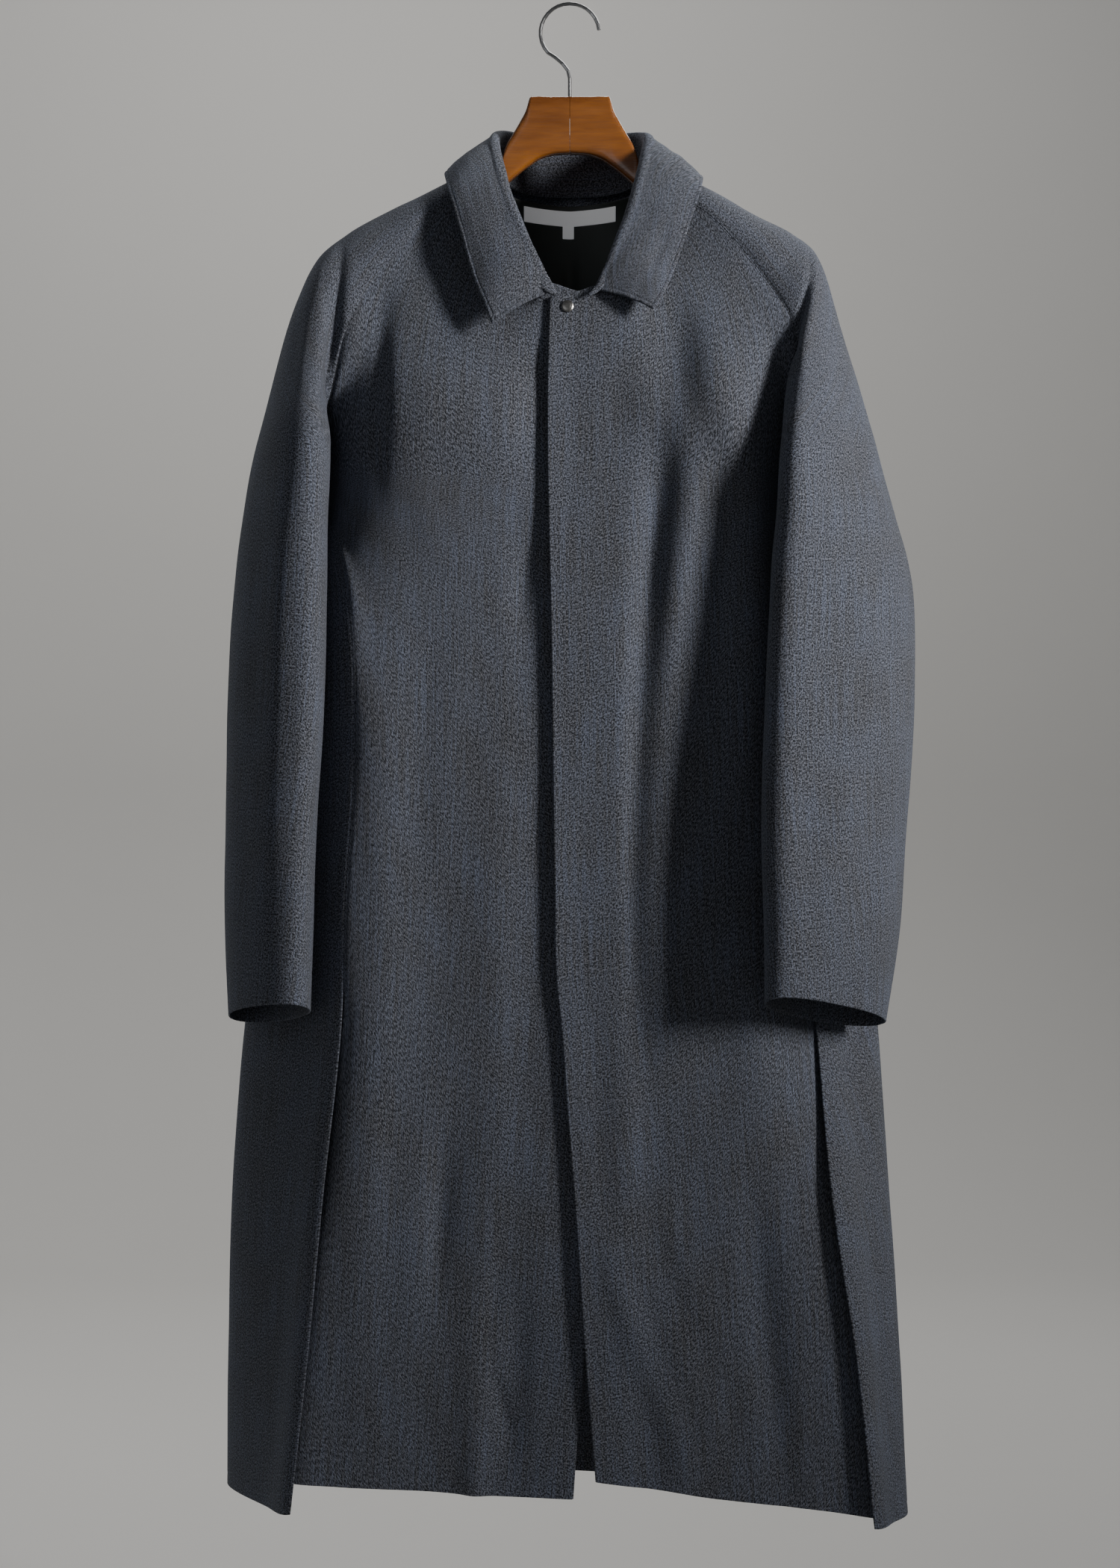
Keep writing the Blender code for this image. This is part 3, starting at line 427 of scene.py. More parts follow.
def fold_depth(piece, x, z):
    """How far the folds push a point to the back."""
    total = np.zeros_like(x)
    for top_x, top_z, mid_x, mid_z, end_x, end_z, width, depth in FOLDS[piece]:
        t = np.clip((z - top_z) / (end_z - top_z), 0, 1)
        m = (mid_z - top_z) / (end_z - top_z)
        path = top_x * (1 - t) * (1 - t / m) + mid_x * t * (1 - t) / (m * (1 - m))
        path += end_x * t * (t - m) / (1 - m)
        fade = eased((z - end_z) / 60 + 0.5) if end_z > HEM_Z else 1.0
        fade = fade * eased((top_z - z) / 60 + 0.5)
        total += depth * fade * np.exp(-(((x - path) / width) ** 2))
    return total


def near_edge(z, top):
    """How far the two fronts part where they lap."""
    return 0.5 * PAGE + 0.6 if top else -(0.5 * PAGE + 0.6)


def edge_point(top, z):
    x = (TOP_EDGE if top else UNDER_EDGE).at(z, "x")
    return np.array([x, CENTRE.at(z, "edge_y"), z])


def ring_knots(side, z, cut):
    """The side's knots from the front corner to the rear corner. cut: which edge of the slit."""
    at = SIDE[side].at
    out = OUT[side]
    seam = at(z, "seam_x", "seam_y")
    side_point = at(z, "side_x", "side_y")
    if cut == "front":
        # Below the slit's top the edge moves out and back, behind the flap
        back_off = eased((-828 - z) / 110)
        out_off = eased((-856 - z) / 90)
        seam = seam + [out * TUCK_OUT * out_off, TUCK_BACK * back_off]
        side_point = side_point + [out * TUCK_OUT * out_off, (TUCK_BACK + 20) * back_off]
        seam = seam - [out * 2.0 * np.exp(-(((z + 842) / 20) ** 2)), 0]
    knots = [at(z, "corner_x", "corner_y"), seam, side_point]
    knots += [at(z, "wing_x", "wing_y"), at(z, "rear_x", "rear_y")]
    return [np.array([x, y, z]) for x, y in knots]


def cut_at(curve, point):
    """The curve up to its sample nearest to the point, ending on that point."""
    near = np.argmin(np.linalg.norm(curve - point, axis=1))
    return np.vstack([curve[: max(near, 1)], point])


def quarter_row(start, end, corner, flat, samples=90):
    """From the centre to a raglan seam: rounded in front view, and flat until it turns back."""
    s = np.linspace(0, 1, samples)
    across = s * (1 - corner) + np.sin(s * pi / 2) * corner
    rise = s * (1 - corner) + (1 - np.cos(s * pi / 2)) * corner
    return np.stack(
        [
            start[0] + (end[0] - start[0]) * across,
            start[1] + (end[1] - start[1]) * across**flat,
            start[2] + (end[2] - start[2]) * rise,
        ],
        axis=1,
    )


TOP_SHARE = 0.32    # share of a body piece's rows that lie above the armpit
NECK_RISE = 3.0     # of the neck edge between the collar's ends
CHEST_X = (50, 85, 115)


def body_row(v):
    """(row of the raglan seam, or None) and the height of a row of the body."""
    if v < TOP_SHARE:
        return 6 * v / TOP_SHARE, ARMPIT_Z
    down = (v - TOP_SHARE) / (1 - TOP_SHARE)
    return None, ARMPIT_Z + (HEM_Z - ARMPIT_Z) * down


class Panel:
    """A panel from its sections, eased down its length so that no single row stands out."""

    def __init__(self, section, rows=100, samples=120, passes=36):
        self.rows = np.linspace(0, 1, rows + 1)
        share = np.linspace(0, 1, samples)
        grid = np.array([walked(section(v), share) for v in self.rows])
        free = (eased(share / 0.12) * eased((1 - share) / 0.12))[:, None]
        for _ in range(passes):
            grid[1:-1] += 0.5 * free * ((grid[:-2] + grid[2:]) / 2 - grid[1:-1])
        self.samples = samples
        self.grid = grid.reshape(rows + 1, -1)

    def at(self, v):
        return cubic(self.rows, self.grid, v)[0].reshape(self.samples, 3)


def pulled(curve, start, end):
    """The curve moved, more toward each end, so that it starts and ends on two points."""
    s = np.linspace(0, 1, len(curve))[:, None]
    return curve + (start - curve[0]) * (1 - s) + (end - curve[-1]) * s


def hem_of(piece, curve):
    """How far the cut of the hem moves each point of a row."""
    start, middle, end = HEM[piece]
    s = np.linspace(0, 1, len(curve))
    hem = start * (1 - s) * (1 - 2 * s) + middle * 4 * s * (1 - s) + end * s * (2 * s - 1)
    return hem * eased((HEM_FROM_Z - curve[:, 2]) / (HEM_FROM_Z - HEM_Z))


def front_section(v, side):
    """A front from its centre edge to the raglan seam, the side seam or the slit."""
    piece = "front_left" if side == "right" else "front_right"
    top = side == "right"
    out = OUT[side]
    row, z = body_row(v)
    armpit_knots = ring_knots(side, ARMPIT_Z, "front")

    def level(height):
        knots = ring_knots(side, height, "front")
        front_y = CENTRE.at(height, "front_y")
        chest = [np.array([out * x, front_y, height]) for x in CHEST_X]
        curve = curve_through([edge_point(top, height)] + chest + knots[:3])
        return cut_at(curve, knots[1])

    if row is None:
        curve = level(z)
    else:
        share = row / 6
        start = edge_point(top, NECK_Z + (ARMPIT_Z - NECK_Z) * share)
        end = raglan_seam(side, row, "front")
        lapped = eased((row - 3.6) / 1.6)
        end = end + np.array([-out * 2.0, PAGE + 1.0, 0]) * lapped
        end = end + (armpit_knots[1] - end) * eased((row - 5) / 1.0)
        curve = quarter_row(start, end, 1 - 0.75 * share, 2.0 + 8.0 * share**2)
        if row > 3.5:
            even = np.linspace(0, 1, 90)
            near = pulled(walked(level(ARMPIT_Z), even), start, end)
            share = eased((row - 3.5) / 2.5)
            curve = walked(curve, even) * (1 - share) + near * share
    lapped = 1 - eased((np.abs(curve[:, 0] - 9) - 28) / 30)
    edge_y = cubic(CENTRE.keys, CENTRE.table, curve[:, 2])[:, 1]
    curve[:, 1] = curve[:, 1] * (1 - lapped) + edge_y * lapped
    clear = eased((curve[:, 0] - 38) / 22) if top else eased((-18 - curve[:, 0]) / 20)
    curve[:, 1] += fold_depth(piece, curve[:, 0], curve[:, 2]) * clear
    lap = eased(1.9 - np.abs(curve[:, 0] - 10) / 34)
    curve[:, 1] -= near_edge(z, top) * lap
    curve[:, 2] += hem_of(piece, curve)
    if row is not None:
        # The neck edge is cut straight where it shows between the collar's ends
        curve[:, 2] += NECK_RISE * eased(1 - row / 0.8) * eased((23 - np.abs(curve[:, 0] - 3)) / 11)
    return curve


FRONT = {side: Panel(lambda v, side=side: front_section(v, side)) for side in ("right", "left")}


def blend_of(x, z, size, seed):
    """Soft irregular waves over a surface, from -1 to 1, with no direction of their own."""
    bent_x = x + 0.35 * size * np.sin(z / size * 1.3 + seed)
    bent_z = z + 0.35 * size * np.sin(x / size * 1.1 + 2 * seed)
    total = np.zeros_like(x)
    for k in range(6):
        turn = seed + 2.4 * k
        wave = 2 * pi / (size * (0.8 + 0.17 * k))
        total += np.sin(wave * (bent_x * cos(turn) + bent_z * sin(turn)) + 1.7 * k * seed)
    return total / 3.2


def from_edge(across, along, edge):
    """How far each point of a panel lies from one of its edges, in millimetres."""
    if edge in ("start", "end"):
        return across if edge == "start" else across[:, -1:] - across
    return along if edge == "top" else along[-1:] - along


def crowded(count, share):
    """Steps from 0 to 1 that draw together toward both ends."""
    even = np.linspace(0, 1, count + 1)
    return even - share * np.sin(2 * pi * even) / (2 * pi)


panels = {}         # of each cloth piece: its face's points and normals, and the way across and along


def woven(name, node, section, columns, rows, look, wall=CLOTH, trim=(0.3, 0.3), ends=(0.0, 1.0),
          outward=1, relief=None, edge=0.5, grooves=(), crowd=(0.6, 0.5)):
    """A cloth panel lofted from its sections, with rounded cut edges, and laid over its solid."""
    fractions = crowded(columns, crowd[0])
    down = ends[0] + (ends[1] - ends[0]) * crowded(rows, crowd[1])
    grid = np.array([walked(section(v), fractions, *trim) for v in down])
    across = np.cumsum(np.linalg.norm(np.diff(grid, axis=1, prepend=grid[:, :1]), axis=2), axis=1)
    along = np.cumsum(np.linalg.norm(np.diff(grid, axis=0, prepend=grid[:1]), axis=2), axis=0)

    def normals(points):
        found = np.cross(np.gradient(points, axis=1), np.gradient(points, axis=0))
        return outward * found / np.linalg.norm(found, axis=2)[:, :, None]

    height = relief(grid, across, along) if relief else 0 * across
    for beside, distance, deep, wide in grooves:
        height = height - deep * np.exp(-(((from_edge(across, along, beside) - distance) / wide) ** 2))
    grid = grid + normals(grid) * height[:, :, None]
    normal = normals(grid)
    loop = [(0, c) for c in range(columns)] + [(r, columns) for r in range(rows)]
    loop += [(rows, c) for c in range(columns, 0, -1)] + [(r, 0) for r in range(rows, 0, -1)]
    loop = np.array(loop)
    rim = grid[loop[:, 0], loop[:, 1]]
    rim_normal = normal[loop[:, 0], loop[:, 1]]
    tangent = np.roll(rim, -1, axis=0) - np.roll(rim, 1, axis=0)
    away = np.cross(tangent, rim_normal)
    away /= np.linalg.norm(away, axis=1)[:, None]
    inner = grid[np.clip(loop[:, 0], 1, rows - 1), np.clip(loop[:, 1], 1, columns - 1)]
    away *= np.sign(((rim - inner) * away).sum(axis=1))[:, None]
    count = (rows + 1) * (columns + 1)
    rings = [rim + away * edge * cos(a) + rim_normal * wall / 2 * sin(a) for a in (0.8, 0.0, -0.8)]
    face, lining = grid + normal * wall / 2, grid - normal * wall / 2
    points = np.concatenate([face.reshape(-1, 3), lining.reshape(-1, 3), *rings])
    index = np.arange(count).reshape(rows + 1, columns + 1)
    quad = np.stack([index[:-1, :-1], index[:-1, 1:], index[1:, 1:], index[1:, :-1]], axis=2)
    quad = quad.reshape(-1, 4)
    top = index[loop[:, 0], loop[:, 1]]
    bands = [top, *(2 * count + k * len(loop) + np.arange(len(loop)) for k in range(3)), top + count]
    rim_faces = [
        np.stack([a, b, np.roll(b, -1), np.roll(a, -1)], axis=1) for a, b in zip(bands, bands[1:])
    ]
    faces = np.concatenate([quad, quad[:, ::-1] + count, *rim_faces])
    mesh = bpy.data.meshes.new(name)
    mesh.from_pydata((points * MM).tolist(), [], faces.tolist())
    solid = bmesh.new()
    solid.from_mesh(mesh)
    bmesh.ops.recalc_face_normals(solid, faces=solid.faces)
    solid.to_mesh(mesh)
    solid.free()
    flat = np.stack([across, along], axis=2)
    on_rim = flat[loop[:, 0], loop[:, 1]]
    every = np.concatenate([flat.reshape(-1, 2), flat.reshape(-1, 2), on_rim, on_rim, on_rim])
    corners = np.empty(len(mesh.loops), np.int32)
    mesh.loops.foreach_get("vertex_index", corners)
    layer = mesh.uv_layers.new(name="Thread")
    layer.data.foreach_set("uv", (every[corners] * MM * 10).astype(np.float32).ravel())
    mesh.shade_smooth()
    mesh.materials.append(look.material)
    made = linked(name, mesh)
    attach(made, "root")
    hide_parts(node)
    panels[name] = (face, normal, across, along)
    return made


def read_at(table, keys, at):
    """The three columns of a table, read at one key."""
    return np.array([np.interp(at, keys, table[:, k]) for k in range(3)])


def line_on(name, edge, distance, begin=0.0, stop=1.0):
    """Points and normals on a panel's face, along a line at one distance from an edge."""
    grid, normal, across, along = panels[name]
    far = from_edge(across, along, edge)
    if edge in ("top", "bottom"):
        grid, normal, far = grid.transpose(1, 0, 2), normal.transpose(1, 0, 2), far.T
    order = slice(None, None, -1 if edge in ("end", "bottom") else 1)
    points, normals = [], []
    for k in range(int(begin * (len(far) - 1)), int(stop * (len(far) - 1)) + 1):
        reach = far[k][order]
        points.append(read_at(grid[k][order], reach, distance))
        normals.append(read_at(normal[k][order], reach, distance))
    return np.array(points), np.array(normals)


def stitches(name, lines, look, pitch=3.1, length=2.3, thick=0.42, sunk=0.12):
    """Rows of sewing thread as one piece. Each stitch bows up and dips into the cloth at its ends."""
    sides, rings = 5, np.array([-0.5, -0.3, 0.3, 0.5])
    turns = np.arange(sides) * 2 * pi / sides
    points, faces = [], []
    for path, normals in lines:
        reach = np.concatenate([[0], np.cumsum(np.linalg.norm(np.diff(path, axis=0), axis=1))])
        for middle in np.arange(pitch, reach[-1] - pitch / 2, pitch):
            ends = [read_at(path, reach, middle + s * length) for s in (-0.5, 0.5)]
            up = read_at(normals, reach, middle)
            up /= np.linalg.norm(up)
            run = ends[1] - ends[0]
            side = np.cross(run, up)
            side /= np.linalg.norm(side)
            base = len(points) * sides * len(rings)
            stitch = []
            for t in rings:
                at = (ends[0] + ends[1]) / 2 + run * t + up * (thick * (0.30 - 3.2 * t * t) - sunk)
                radius = thick * (0.5 - 0.8 * t * t)
                stitch += [at + radius * (side * cos(a) + up * sin(a)) for a in turns]
            points.append(stitch)
            for ring in range(len(rings) - 1):
                for k in range(sides):
                    n, low = (k + 1) % sides, base + ring * sides
                    faces.append((low + k, low + n, low + sides + n, low + sides + k))
            last = base + (len(rings) - 1) * sides
            faces.append(tuple(base + k for k in reversed(range(sides))))
            faces.append(tuple(last + k for k in range(sides)))
    mesh = bpy.data.meshes.new(name)
    mesh.from_pydata((np.array(points).reshape(-1, 3) * MM).tolist(), [], faces)
    mesh.shade_smooth()
    mesh.materials.append(look.material)
    made = linked(name, mesh)
    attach(made, "root")


THREADS = 100.0             # the cloth's map counts 10 a metre; this turns it into millimetres


def threads(look):
    """Where a point lies across and along its cloth, in millimetres."""
    return look.stretched(look.node("UVMap", {"uv_map": "Thread"}), (THREADS, THREADS, THREADS))


# The wool: dark and light fibres spun together, a fine twill, and threads that vary down a piece
wool = Look("Melange wool", Roughness=0.94, Specular_IOR_Level=0.2, Sheen_Weight=0.16,
            Sheen_Roughness=0.5, Sheen_Tint=(0.60, 0.68, 0.80, 1))
lie = threads(wool)
fleck = wool.noise(wool.stretched(lie, (1.0, 0.8, 1.0)), 0.78, 3.0, 0.75).clipped(0.41, 0.61)
speck = wool.noise(lie, 1.5, 1.0, 0.5).clipped(0.50, 0.70)
fibre = wool.noise(wool.stretched(lie, (1.5, 0.4, 1.0)), 1.2, 2.0, 0.65).clipped(0.3, 0.7)
warp = wool.noise(wool.stretched(lie, (0.6, 0.012, 1.0)), 1.0, 2.0, 0.6).clipped(0.3, 0.7)
weft = wool.noise(wool.stretched(lie, (0.02, 0.7, 1.0)), 1.0, 2.0, 0.6).clipped(0.3, 0.7)
cloud = wool.noise(lie, 0.016, 3.0, 0.55).clipped(0.3, 0.7)
shade = fleck * 0.52 + speck * 0.16 + fibre * 0.10 + warp * 0.14 + weft * 0.04 + cloud * 0.06
tint = (warp * 0.6 + cloud * 0.4).clipped(0.2, 0.8)
light = wool.mix(tint, (0.205, 0.208, 0.232), (0.170, 0.190, 0.252))
wool.feed("Base Color", wool.mix(shade.clipped(0.25, 0.81), (0.009, 0.010, 0.013), light))
wool.feed("Normal", wool.bump(fleck * 0.35 + fibre * 0.45 + speck * 0.2, 0.0005, 0.5))
thread = Look("Dark thread", Roughness=0.5, Sheen_Weight=0.1)
strand = thread.noise(thread.node("TexCoord", out=3), 900.0, 2.0)
thread.feed("Base Color", thread.mix(strand, (0.010, 0.012, 0.015), (0.035, 0.040, 0.048)))
thread.feed("Normal", thread.bump(strand, 0.0001, 0.3))


# Small folds of each front: x and z of their two ends, half width, depth (minus: a ridge)
FRONT_CREASES = {
    "right": [
        (124, -410, 122, -540, 6, 1.4), (150, -420, 140, -640, 12, -1.2), (30, -1046, 92, -1214, 14, -3.4),
        (60, -1010, 130, -1180, 14, 2.4), (150, -640, 132, -860, 12, 1.2), (20, -860, 34, -1100, 12, 0.9),
        (96, -700, 84, -900, 16, -1.2),
    ],
    "left": [
        (-155, -262, -156, -420, 7, 2.2), (-140, -270, -142, -400, 8, -1.2), (-30, -462, -40, -520, 9, 2.6),
        (-104, -975, -108, -1060, 8, 3.2), (-62, -1140, -50, -1190, 6, 3.4),
        (-58, -1060, -66, -1110, 8, 2.6),
        (-120, -560, -128, -720, 14, 1.2), (-60, -640, -66, -860, 16, -1.2),
        (-140, -880, -150, -1120, 12, 1.2),
        (-26, -700, -36, -940, 14, 1.1),
    ],
}
CURL = 1.5                  # how far the free edge of the lapping front stands off the one below


def folds_on(p, table):
    """The summed depth of a table of small folds, each running from one end to the other."""
    x, z = p[:, :, 0], p[:, :, 2]
    total = np.zeros_like(z)
    for x1, z1, x2, z2, wide, deep in table:
        share = np.clip((z - z1) / (z2 - z1), 0, 1)
        beyond = np.maximum(np.maximum(z - max(z1, z2), min(z1, z2) - z), 0)
        over = x - (x1 + (x2 - x1) * share)
        taper = np.sin(pi * (0.12 + 0.76 * share)) ** 0.7
        total += deep * taper * np.exp(-((over / wide) ** 2) - (beyond / 22) ** 2)
    return total


def front_relief(side):
    def relief(p, across, along):
        x, z = p[:, :, 0], p[:, :, 2]
        d = 0.7 * blend_of(x, z * 0.22, 80, 1.3 if side == "right" else 2.1)
        d += 0.16 * blend_of(x, z * 0.35, 34, 0.7 if side == "right" else 3.3)
        d -= folds_on(p, FRONT_CREASES[side])
        d *= eased(across / 26) * eased((across[:, -1:] - across) / 14)
        shown = eased((-288 - z) / 34) * eased((z + 1240) / 60)
        if side == "right":
            return d + CURL * shown * np.exp(-across / 16)
        return d - 1.6 * shown * eased((90 - across) / 40)
    return relief


FRONT_START = 0.008         # where a front's rows begin, just below the neck seam
HEM_LINE = 9.0              # how far above its edge a hem is stitched
SEAM_DIP = (1.2, 0.25, 1.4)     # beside a seam: how far in the cloth dips, how deep and how wide
HEM_DIP = (HEM_LINE, 0.35, 1.1)
SIDES = (("right", "left"), ("left", "right"))      # as seen, and as worn
for side, worn in SIDES:
    front = woven(
        f"front_{worn}_cloth", f"front_{worn}", FRONT[side].at, 104, 250,
        wool, trim=(0.2, 0.6), ends=(FRONT_START, 1.0), outward=-OUT[side],
        relief=front_relief(side), edge=0.8, crowd=(0.7, 0.6),
        grooves=(("bottom", *HEM_DIP), ("end", *SEAM_DIP)),
    )


def dropped_line(name, x, top, end):
    """Points and normals straight down a panel's face at one x, between two heights."""
    grid, normal = panels[name][:2]
    points, normals = [], []
    for row, facing in zip(grid, normal):
        order = slice(None) if row[-1, 0] > row[0, 0] else slice(None, None, -1)
        at = read_at(row[order], row[order, 0], x)
        if end <= at[2] <= top:
            points.append(at)
            normals.append(read_at(facing[order], row[order, 0], x))
    return np.array(points), np.array(normals)


BARS = (-396, -534, -665)   # the hidden buttonholes' bars, down the left front
BAR_X, BAR_HALF = 20.5, 4.5
HEM_THREAD = {"pitch": 4.2, "length": 2.0, "thick": 0.34}
bars = [dropped_line("front_left_cloth", BAR_X, z + BAR_HALF, z - BAR_HALF) for z in BARS]
hems = [line_on(f"front_{worn}_cloth", "bottom", HEM_LINE, 0.03, 0.97) for worn in ("left", "right")]
stitches("closing_stitching", [line_on("front_left_cloth", "top", 3.2, 0.03, 0.30)], thread)
stitches("closing_bars", bars, thread, pitch=0.9, length=1.0, thick=1.1)
stitches("hem_stitching", hems, thread, **HEM_THREAD)


# ================================================================ back
# One wide back, cut without a centre seam, that wraps round both sides to the side seams and
# hangs as a flap over each slit.

BACK_NECK_Y, BACK_NECK_Z = 61, -150


def back_section(v):
    """The back from the left side, round the back, to the right side."""
    row, z = body_row(v)
    halves = []

    def half(side, height):
        knots = ring_knots(side, height, "flap")
        middle = np.array([0.0, CENTRE.at(height, "back_y"), height])
        quarter = (knots[4] + middle) / 2 + [0, 3.0, 0]
        curve = curve_through([*knots, quarter, middle], 140)
        near = np.argmin(np.linalg.norm(curve - knots[1], axis=1))
        return np.vstack([knots[1], curve[near + 1:]])

    for side in ("left", "right"):
        if row is None:
            curve = half(side, z)
        else:
            share = row / 6
            height = BACK_NECK_Z + (ARMPIT_Z - BACK_NECK_Z) * share
            if height < CENTRE.keys[-1]:
                depth = CENTRE.at(max(height, ARMPIT_Z), "back_y")
            else:
                down = (BACK_NECK_Z - height) / 150
                depth = BACK_NECK_Y + (CENTRE.at(-300, "back_y") - BACK_NECK_Y) * down
            start = np.array([0.0, depth, height])
            end = raglan_seam(side, row, "back")
            end = end - np.array([OUT[side] * PAGE, 0, 0]) * eased((row - 3.3) / 1.3)
            armpit = ring_knots(side, ARMPIT_Z, "flap")[1]
            end = end + (armpit - end) * eased((row - 5) / 1.0)
            curve = quarter_row(start, end, 0.5 - 0.4 * share, 2.2 + 1.6 * share)[::-1]
            even = np.linspace(0, 1, 140)
            curve = walked(curve, even)
            if row > 3.0:
                near = pulled(walked(half(side, ARMPIT_Z), even), end, start)
                share = eased((row - 3.0) / 3.0)
                curve = curve * (1 - share) + near * share
        halves.append(curve)
    curve = np.vstack([halves[0], halves[1][::-1][1:]])
    rear = eased(curve[:, 1] / 40)
    curve[:, 1] -= fold_depth("back", curve[:, 0], curve[:, 2]) * rear
    curve[:, 2] += hem_of("back", curve)
    return curve


BACK = Panel(back_section, samples=240)


def back_relief(p, across, along):
    x, y, z = p[:, :, 0], p[:, :, 1], p[:, :, 2]
    d = 0.9 * blend_of(x + y, z * 0.22, 90, 2.7) + 0.18 * blend_of(x + y, z * 0.35, 38, 1.9)
    span = across[:, -1:]
    return d * eased(across / 30) * eased((span - across) / 30)


BACK_START = 0.01
back_cloth = woven(
    "back_cloth", "back", BACK.at, 150, 230, wool,
    trim=(0.4, 0.4), ends=(BACK_START, 1.0), relief=back_relief, edge=0.8, crowd=(0.5, 0.5),
    grooves=(("bottom", *HEM_DIP), ("start", *SEAM_DIP), ("end", *SEAM_DIP)),
)
stitches("back_hem_stitching", [line_on("back_cloth", "bottom", HEM_LINE, 0.02, 0.98)], thread, **HEM_THREAD)


# ================================================================ sleeves
# Two-piece raglan sleeves that run up to the neck. A seam along the top of each arm joins the
# front half to the back half, and another runs down the underarm.

def sleeve_arc(side, row, face, samples=60):
    """Half of the sleeve's section, from its front or back seam to the shoulder seam."""
    t = np.linspace(0, 1, samples)
    start = UNDERARM if face == "front" else 360 + UNDERARM
    turn = 1 if face == "front" else -1
    first = start + turn * 95 * (1 - eased((row - 3.5) / 2.5))
    angles = first + (ridge_angle(row) - first) * t
    tube = tube_point(side, max(row, 3), angles)
    if row >= 6:
        return tube
    seam = raglan_seam(side, row, face)
    ridge = SEAMS[side].at(row, "ridge_x", "ridge_y", "ridge_z")
    a = (1 - t) * pi / 2
    quarter = ridge + (seam - ridge) * np.stack([1 - np.cos(a), np.sin(a), 1 - np.cos(a)], axis=1)
    tube = tube + (seam - tube[0]) * ((1 - t) ** 3)[:, None] + (ridge - tube[-1]) * (t**3)[:, None]
    share = eased((row - 3) / 3)
    curve = quarter * (1 - share) + tube * share
    if face == "front":
        fold = eased((row - 4.1) / 0.9) * eased((6 - row) / 0.9) * (t / 0.17) * np.exp(1 - t / 0.17)
        curve = curve + np.outer(fold, FOLD_OVER[side])
    return curve


# Small folds of each sleeve front, as on the fronts
SLEEVE_CREASES = {
    "right": [
        (199, -240, 185, -300, 2.6, 3.2), (203, -244, 190, -310, 3.6, -2.2),
        (206, -290, 204, -398, 8, -1.2),
        (223, -318, 238, -410, 9, 1.4), (240, -415, 247, -446, 7, -1.4), (250, -470, 262, -560, 12, 1.2),
        (182, -640, 190, -760, 10, 1.2), (222, -600, 214, -790, 14, -1.2), (246, -640, 238, -800, 9, 0.9),
    ],
    "left": [
        (-190, -240, -197, -350, 5.0, 7.5), (-206, -250, -203, -345, 5, -3.0),
        (-222, -262, -226, -330, 7, 2.0),
        (-226, -440, -231, -560, 8, -1.8), (-231, -550, -238, -720, 8, -1.8),
        (-214, -470, -222, -700, 9, 1.5),
        (-250, -420, -256, -640, 11, 1.3), (-262, -660, -258, -800, 10, 1.0),
        (-228, -740, -232, -820, 9, 1.2),
    ],
}


def sleeve_relief(side, face):
    def relief(p, across, along):
        x, y, z = p[:, :, 0], p[:, :, 1], p[:, :, 2]
        seed = 1.0 + 0.9 * len(side) + 0.6 * len(face)
        d = 0.6 * blend_of(x + y * 0.7, z * 0.3, 70, seed)
        d = d + 0.16 * blend_of(x + y, z * 0.4, 32, seed + 1)
        if face == "front":
            d -= folds_on(p, SLEEVE_CREASES[side])
        span = across[:, -1:]
        return d * eased(across / 5) * eased((span - across) / 12)
    return relief


for side, worn in SIDES:
    for face, columns, wide, area in (("front", 88, 0.30, 0.165), ("back", 44, 0.13, 0.06)):
        turn = -1 if (side == "right") == (face == "front") else 1
        half = woven(
            f"sleeve_{face}_{worn}_cloth", f"sleeve_{face}_{worn}",
            lambda v, side=side, face=face: sleeve_arc(side, LAST * v, face), columns, 200,
            wool, trim=(0.6, 0.4), ends=(0.004, 1.0), outward=turn,
            relief=sleeve_relief(side, face), edge=0.8, crowd=(0.6, 0.3),
            grooves=(("start", *SEAM_DIP), ("end", *SEAM_DIP), ("bottom", 30.0, 0.15, 1.4)),
        )


# ================================================================ collar
# A one-piece turn-down collar, interfaced and edge stitched, that stands up from the neck seam,
# rolls over and falls to two points.

COLLAR_WALL = 2.6

# Angle round the neck seam from the front centre (plus: viewer's right), one half
NECK = Rows(
    "angle x y z",
    (0, 0, -73, -262), (14, 16, -75, -262), (40, 42, -69, -235), (60, 59, -54, -203),
    (75, 67, -38, -179), (90, 70, -15, -152), (103, 69, 5, -138), (120, 64, 24, -141),
    (140, 50, 46, -147), (160, 27, 57, -150), (180, 0, 61, -150),
)

# From the viewer's left front end round the back to the right front end
COLLAR = Rows(
    "row neck_angle roll_x roll_y roll_z edge_x edge_y edge_z",
    (0, -13, -12.6, -79, -257, -63, -93, -287),
    (1, -28, -27, -76, -228, -70, -88, -268),
    (2, -48, -41, -63, -192, -79, -78, -244),
    (3, -66, -51.5, -43, -160, -90, -63, -203),
    (4, -84, -58, -18, -130, -101, -38, -164),
    (5, -103, -60, 3, -110, -105, 4, -142),
    (6, -125, -54, 28, -100, -95, 48, -152),
    (7, -152, -33, 49, -97, -60, 73, -158),
    (8, -180, 1, 56, -96, 1, 81, -159),
    (9, -208, 35, 49, -97, 62, 73, -159),
    (10, -235, 56, 28, -101, 99, 48, -154),
    (11, -257, 63, 3, -111, 111, 5, -145),
    (12, -276, 60, -18, -131, 109, -35, -163),
    (13, -294, 53, -41, -161, 98, -60, -199),
    (14, -312, 43, -61, -196, 84, -77, -241),
    (15, -332, 32, -74, -228, 75, -88, -262),
    (16, -347, 21, -79, -256, 67.6, -93, -275),
)
ROLL_RADIUS = 4.0


def neck_point(angle):
    angle = (angle + 180) % 360 - 180
    side = -1 if angle < 0 else 1
    x, y, z = NECK.at(abs(angle), "x", "y", "z")
    return np.array([side * x + 1.0, y, z])


